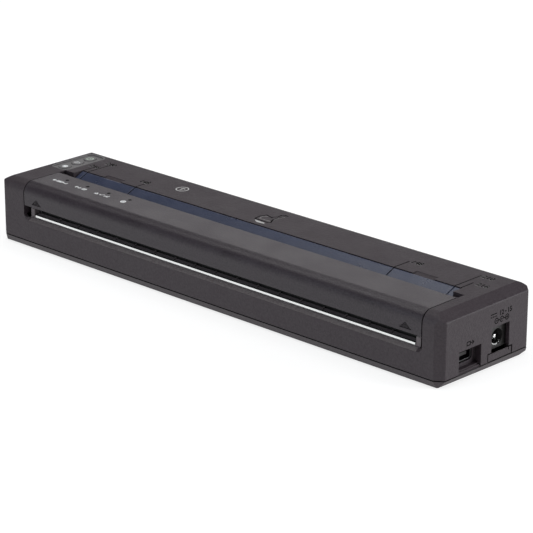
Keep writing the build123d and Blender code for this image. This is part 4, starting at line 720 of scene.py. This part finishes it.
# generic signs printed beside the indicator lenses: power, transfer, state and radio
lampSigns = {
    "row": -15.3, "pen": 0.46,
    # each sign: its place along the row, then its shapes around that place
    "signs": {
        "lampSignPower": (-100.3, (
            ("ring", (-3.8, 0), 0.57, None, (55, 125)), ("line", (-3.8, 0), (-3.8, 0.8)),
            ("loop", (-2.2, -0.6), (1.6, -0.6), (1.6, 0.6), (-2.2, 0.6)),
            ("line", (-1.2, -0.15), (0.5, -0.15), 0.69), ("line", (2.1, -0.25), (2.1, 0.25)),
            ("line", (3.2, -0.6), (3.2, 0)), ("line", (4.0, -0.6), (4.0, 0.7)),
        )),
        "lampSignTransfer": (-86.7, (
            ("path", (-3.0, -0.8), (-3.0, 0.8), (-2.2, 0.1)), ("line", (-3.0, 0.8), (-3.7, 0.1)),
            ("path", (-1.0, 0.8), (-1.0, -0.8), (-0.2, -0.1)), ("line", (-1.0, -0.8), (-1.7, -0.1)),
            ("loop", (0.9, -0.7), (2.9, -0.7), (2.9, 0.7), (0.9, 0.7)), ("line", (1.4, 0), (2.4, 0)),
        )),
        "lampSignState": (-73.2, (
            ("loop", (-4.4, -0.7), (-2.4, -0.7), (-3.4, 0.8)), ("dot", (-3.4, -0.3), 0.2),
            ("path", (-1.3, 0), (-0.6, -0.7), (0.7, 0.8)), ("line", (1.9, -0.8), (1.9, -0.1)),
            ("line", (2.8, -0.8), (2.8, 0.4)), ("line", (3.7, -0.8), (3.7, 0.8)),
        )),
        "lampSignRadio": (-59.9, (("ring", (0, 0), 1.0, 0.62, (0, 0)), ("dot", (0, 0), 0.42))),
    },
}


def addLampSigns(setup):
    for name, (place, shapes) in setup["signs"].items():
        strokes = drawSign(shapes, setup["pen"])
        face = upAt(place, setup["row"], coverTop)
        layMark(name, strokes, face, inkLift, "whitePrint", "cover")


# smoked windows flush with the cover, over the light guide
lampWindows = {"count": 4, "pitch": 13.4, "firstInset": 3.0, "radius": 0.85}


def addLampWindows(windows):
    low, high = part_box("indicator_lenses")
    first = low.x / mm + windows["firstInset"]
    row = (low.y + high.y) / 2 / mm
    dots = []
    for number in range(windows["count"]):
        dots += flatDot((first + windows["pitch"] * number, row), windows["radius"])
    layMark("lampWindows", dots, upAt(0, 0, coverTop), inkLift, "lensSmoke", "cover")


# dark ground between the ribs of the two lift marks on the front of the cover
liftMarks = {
    "places": (-102.8, 109.6), "base": 21.0, "width": 6.2, "foot": 0.05, "height": 2.7,
    "depth": 0.4, "fill": 0.14,
}


def addLiftMarks(marks):
    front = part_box("release_cover")[0].y / mm
    half, foot, height = marks["width"] / 2, marks["foot"], marks["height"]
    shapes = []
    for place in marks["places"]:
        shapes += flatShape(((place - half, foot), (place + half, foot), (place, height)))
    face = ((0, front + marks["depth"] - marks["fill"], marks["base"]), (1, 0, 0), (0, 0, 1))
    layMark("liftMarkGround", shapes, face, marks["fill"], "engravedShade", "cover")


# a lighter band with a coarse grain on the sloping lower edge of the paper exit: its lighter tone is painted
# light where light falls on the bevel
exitLip = {
    "halfLength": 111.6, "slopeStart": 0.1, "slopeEnd": 2.16, "outerEdge": (-27.5, 12.9),
    "rise": 0.6, "run": 0.8,
}


def addExitLip(lip):
    low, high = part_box("paper_guide")
    middle = (low.x + high.x) / 2 / mm
    half, start, end = lip["halfLength"], lip["slopeStart"], lip["slopeEnd"]
    band = flatShape(((-half, start), (half, start), (half, end), (-half, end)))
    face = ((middle, *lip["outerEdge"]), (1, 0, 0), (0, lip["run"], lip["rise"]))
    layMark("exitLipPaintedLight", band, face, inkLift, "lipPaintedLight", "case")


# signs on the three keys: the body that carries each, its node, its ink and its shapes
keySigns = {
    "pen": 0.27,
    "keys": (
        ("function_button", "button_function", "whitePrint", (
            ("ring", (0, 0), 1.05, 0.8, (200, 250)), ("dot", (0, 0), 0.5),
        )),
        ("feed_button", "button_feed", "whitePrint", (
            ("loop", (-1.5, -0.9), (-0.2, -0.9), (-0.2, 1.0), (-1.5, 1.0)),
            ("path", (0.5, -0.9), (1.4, 0), (0.5, 0.9)),
        )),
        ("power_button", "button_power", "greenPrint", (
            ("ring", (0, 0), 1.5, None, (0, 0)), ("line", (0, -0.1), (0, 0.65)),
        )),
    ),
}


def addKeySigns(setup):
    for body, node, ink, shapes in setup["keys"]:
        low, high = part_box(node)
        face = upAt((low.x + high.x) / 2 / mm, (low.y + high.y) / 2 / mm, high.z / mm)
        strokes = drawSign(shapes, setup["pen"])
        layMark("keySign_" + body, strokes, face, inkLift, ink, body)


# the engraved width lines are filled with black, on the plate and down the slope of the guide
widthLines = {
    "halfWidths": ((74.5, 9.2), (105.5, 16.2), (108.5, 7.7)), "slopeMarks": (-105.5, -74.5, 74.5),
    "pen": 0.6, "plateFront": 2.8, "slopeTop": (2.35, 29.7), "slopeAngle": 23.0, "slopeLength": 6.6,
    "fill": 0.17, "below": 0.22,
}


def addWidthLines(lines):
    low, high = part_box("paper_guide")
    middle = (low.x + high.x) / 2 / mm
    pen, fill, front = lines["pen"], lines["fill"], lines["plateFront"]
    strokes = []
    for side in (-1, 1):
        for half, length in lines["halfWidths"]:
            place = middle + side * half
            strokes += flatStroke((place, front + pen / 2), (place, front + length - pen / 2), pen)
    face = upAt(0, 0, topHeight - lines["below"])
    layMark("widthLineFill", strokes, face, fill, "engravedShade", "case")
    strokes = []
    for mark in lines["slopeMarks"]:
        strokes += flatStroke((mark, -pen), (mark, -lines["slopeLength"]), pen)
    angle = math.radians(lines["slopeAngle"])
    normal = Vector((0, -math.sin(angle), math.cos(angle)))
    origin = Vector((middle, *lines["slopeTop"])) - normal * lines["below"]
    face = (origin, (1, 0, 0), (0, math.cos(angle), math.sin(angle)))
    layMark("guideLineFill", strokes, face, fill, "engravedShade", "case")


# paper widths in millimetres at the ends of the width lines, a loading pictogram and a plain arrow in a ring
plateSigns = {
    "numbers": (
        ("148", (-73.0, 9.9)), ("210", (-102.6, 17.2)), ("216", (-105.6, 10.2)),
        ("148", (81.6, 12.4)), ("210", (112.8, 18.4)), ("216", (116.6, 10.2)),
    ),
    "numberHeight": 2.7, "edgeShift": 0.22, "edgeDrop": 0.004,
    "cutPen": 0.62, "cuts": (
        ("path", (1.2, 13.2), (-3.0, 14.4), (-4.2, 11.4), (-3.6, 7.8), (4.0, 7.4), (5.0, 8.4)),
        ("path", (0.7, 14.0), (2.1, 15.5), (1.9, 18.4), (3.1, 19.3), (4.6, 19.2)),
        ("path", (5.0, 8.4), (3.2, 11.4), (3.2, 14.2), (4.1, 18.0)),
    ),
    "glintPen": 0.26, "glints": (
        ("path", (3.6, 9.4), (-2.4, 9.2), (-2.9, 11.7), (-1.4, 13.4)),
        ("path", (3.6, 11.6), (3.6, 14.2), (4.4, 17.6)),
    ),
    # a pale sliver in front of the pictogram: painted highlight where the front bevel of its engraving
    # catches the light
    "slot": ((-2.6, 6.7), (-1.2, 5.6), (0.3, 4.9), (3.9, 5.3), (3.5, 6.3)),
    "coverPen": 0.5, "cover": (
        ("ring", (-54.0, 14.5), 2.75, None, (0, 0)), ("line", (-54.0, 13.1), (-54.0, 15.9)),
        ("path", (-55.0, 14.9), (-54.0, 15.9), (-53.0, 14.9)),
    ),
}


def addPlateSigns(signs):
    height, shift = signs["numberHeight"], signs["edgeShift"]
    shade, light = [], []
    for text, (x, y) in signs["numbers"]:
        shade += flatNumber(text, (x, y), height)
        light += flatNumber(text, (x, y - shift), height)
    top, under = upAt(0, 0, topHeight), upAt(0, 0, topHeight - signs["edgeDrop"])
    layMark("widthNumberEdges", light, under, inkLift, "engravedLight", "case")
    layMark("widthNumbers", shade, top, inkLift, "engravedShade", "case")
    cuts = drawSign(signs["cuts"], signs["cutPen"])
    layMark("loadingPage", cuts, top, inkLift, "engravedShade", "case")
    glints = drawSign(signs["glints"], signs["glintPen"])
    layMark("loadingPageEdge", glints, top, inkLift, "engravedLight", "case")
    # the pale sliver is a painted highlight on the front bevel of the pictogram
    layMark("loadingBevelHighlight", flatShape(signs["slot"]), top, inkLift, "greyPrint", "case")
    cover = drawSign(signs["cover"], signs["coverPen"])
    layMark("coverSign", cover, top, inkLift, "greyPrint", "case")


# generic signs above the two sockets in the right end: polarity, current and data
socketSigns = {
    "pen": 0.4,
    # each sign: its place on the end face, then its shapes around that place
    "signs": {
        "polaritySign": ((8.9, 19.6), (
            ("ring", (0, 0), 1.05, None, (300, 359)), ("dot", (0, 0), 0.4),
            ("ring", (-3.25, 0), 1.05, None, (0, 0)), ("line", (-3.65, 0), (-2.85, 0)),
            ("ring", (3.25, 0), 1.05, None, (0, 0)), ("line", (2.85, 0), (3.65, 0)),
            ("line", (3.25, -0.4), (3.25, 0.4)),
            ("line", (-2.2, 0), (-1.05, 0)), ("line", (1.05, 0), (2.2, 0)),
        )),
        "currentSign": ((8.3, 22.2), (
            ("line", (-6.2, 0.6), (-2.8, 0.6)), ("line", (-6.2, -0.5), (-5.6, -0.5)),
            ("line", (-4.8, -0.5), (-4.2, -0.5)), ("line", (-3.4, -0.5), (-2.8, -0.5)),
            ("number", "12", (0.4, 0), 2.0), ("line", (2.5, 0), (3.2, 0)), ("number", "15", (5.4, 0), 2.0),
        )),
        "dataSign": ((-9.5, 15.0), (
            ("loop", (-2.6, -0.7), (-0.6, -0.7), (-0.6, 0.7), (-2.6, 0.7)), ("line", (-0.6, 0), (1.4, 0)),
            ("path", (0.7, 0.7), (1.5, 0), (0.7, -0.7)),
        )),
    },
}


def addSocketSigns(setup):
    for name, (place, shapes) in setup["signs"].items():
        strokes = drawSign(shapes, setup["pen"])
        layMark(name, strokes, rightAt(endFace, *place), inkLift, "engravedShade", "case")


addLampSigns(lampSigns)
addLampWindows(lampWindows)
addLiftMarks(liftMarks)
addExitLip(exitLip)
addKeySigns(keySigns)
addWidthLines(widthLines)
addPlateSigns(plateSigns)
addSocketSigns(socketSigns)
print("signs laid")

# screws that close the case from below, with crossed slots
caseScrew = {
    "places": ((-121.1, -22.9), (121.1, -22.9), (-121.1, 22.9), (121.1, 22.9)),
    "headRadius": 1.62, "headHeight": 1.3, "headTop": 2.78, "headSteps": 40, "round": 0.42, "roundSteps": 4,
    "slotLength": 1.9, "slotWidth": 0.42, "slotDepth": 0.6, "slotTurns": (0.4, 0.4 + math.pi / 2),
}


def addScrewHead(screw):
    x, y = screw["places"][0]
    radius, height, top = (screw[key] * mm for key in ("headRadius", "headHeight", "headTop"))
    place = (x * mm, y * mm, top - height / 2)
    steps = screw["headSteps"]
    cleanSelection()
    bpy.ops.mesh.primitive_cylinder_add(vertices=steps, radius=radius, depth=height, location=place)
    head = bpy.context.object
    applyPlace(head)
    bpy.ops.object.mode_set(mode="EDIT")
    bpy.ops.mesh.select_mode(type="FACE")
    bpy.ops.mesh.select_all(action="DESELECT")
    bpy.ops.object.mode_set(mode="OBJECT")
    for face in head.data.polygons:
        face.select = face.normal.z < -0.9    # only the flat lower end
    bpy.ops.object.mode_set(mode="EDIT")
    bpy.ops.mesh.bevel(offset=screw["round"] * mm, segments=screw["roundSteps"], affect="EDGES")
    bpy.ops.object.mode_set(mode="OBJECT")
    return head


def cutSlot(head, screw, turn):
    x, y = screw["places"][0]
    place = (x * mm, y * mm, (screw["headTop"] - screw["headHeight"]) * mm)
    cleanSelection()
    bpy.ops.mesh.primitive_cube_add(size=1, location=place, rotation=(0, 0, turn))
    cutter = bpy.context.object
    cutter.scale = (screw["slotLength"] * mm, screw["slotWidth"] * mm, 2 * screw["slotDepth"] * mm)
    applyPlace(cutter)
    cut = head.modifiers.new("slot", "BOOLEAN")
    cut.operation = "DIFFERENCE"
    cut.solver = "EXACT"
    cut.object = cutter
    pickOnly(head)
    bpy.ops.object.modifier_apply(modifier="slot")
    bpy.data.objects.remove(cutter)


def addCaseScrews(screw):
    x, y = screw["places"][0]
    head = addScrewHead(screw)
    for turn in screw["slotTurns"]:
        cutSlot(head, screw, turn)
    head.name = head.data.name = "caseScrew_1"
    giveFinish(head, "blackenedSteel")
    heads = [head]
    for number, (toX, toY) in enumerate(screw["places"][1:], start=2):
        other = head.copy()
        other.data = head.data.copy()
        other.name = other.data.name = "caseScrew_" + str(number)
        other.data.transform(Matrix.Translation(((toX - x) * mm, (toY - y) * mm, 0)))
        bpy.context.scene.collection.objects.link(other)
        heads.append(other)
    for each in heads:
        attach(each, "case")


addCaseScrews(caseScrew)
print("screws in place")
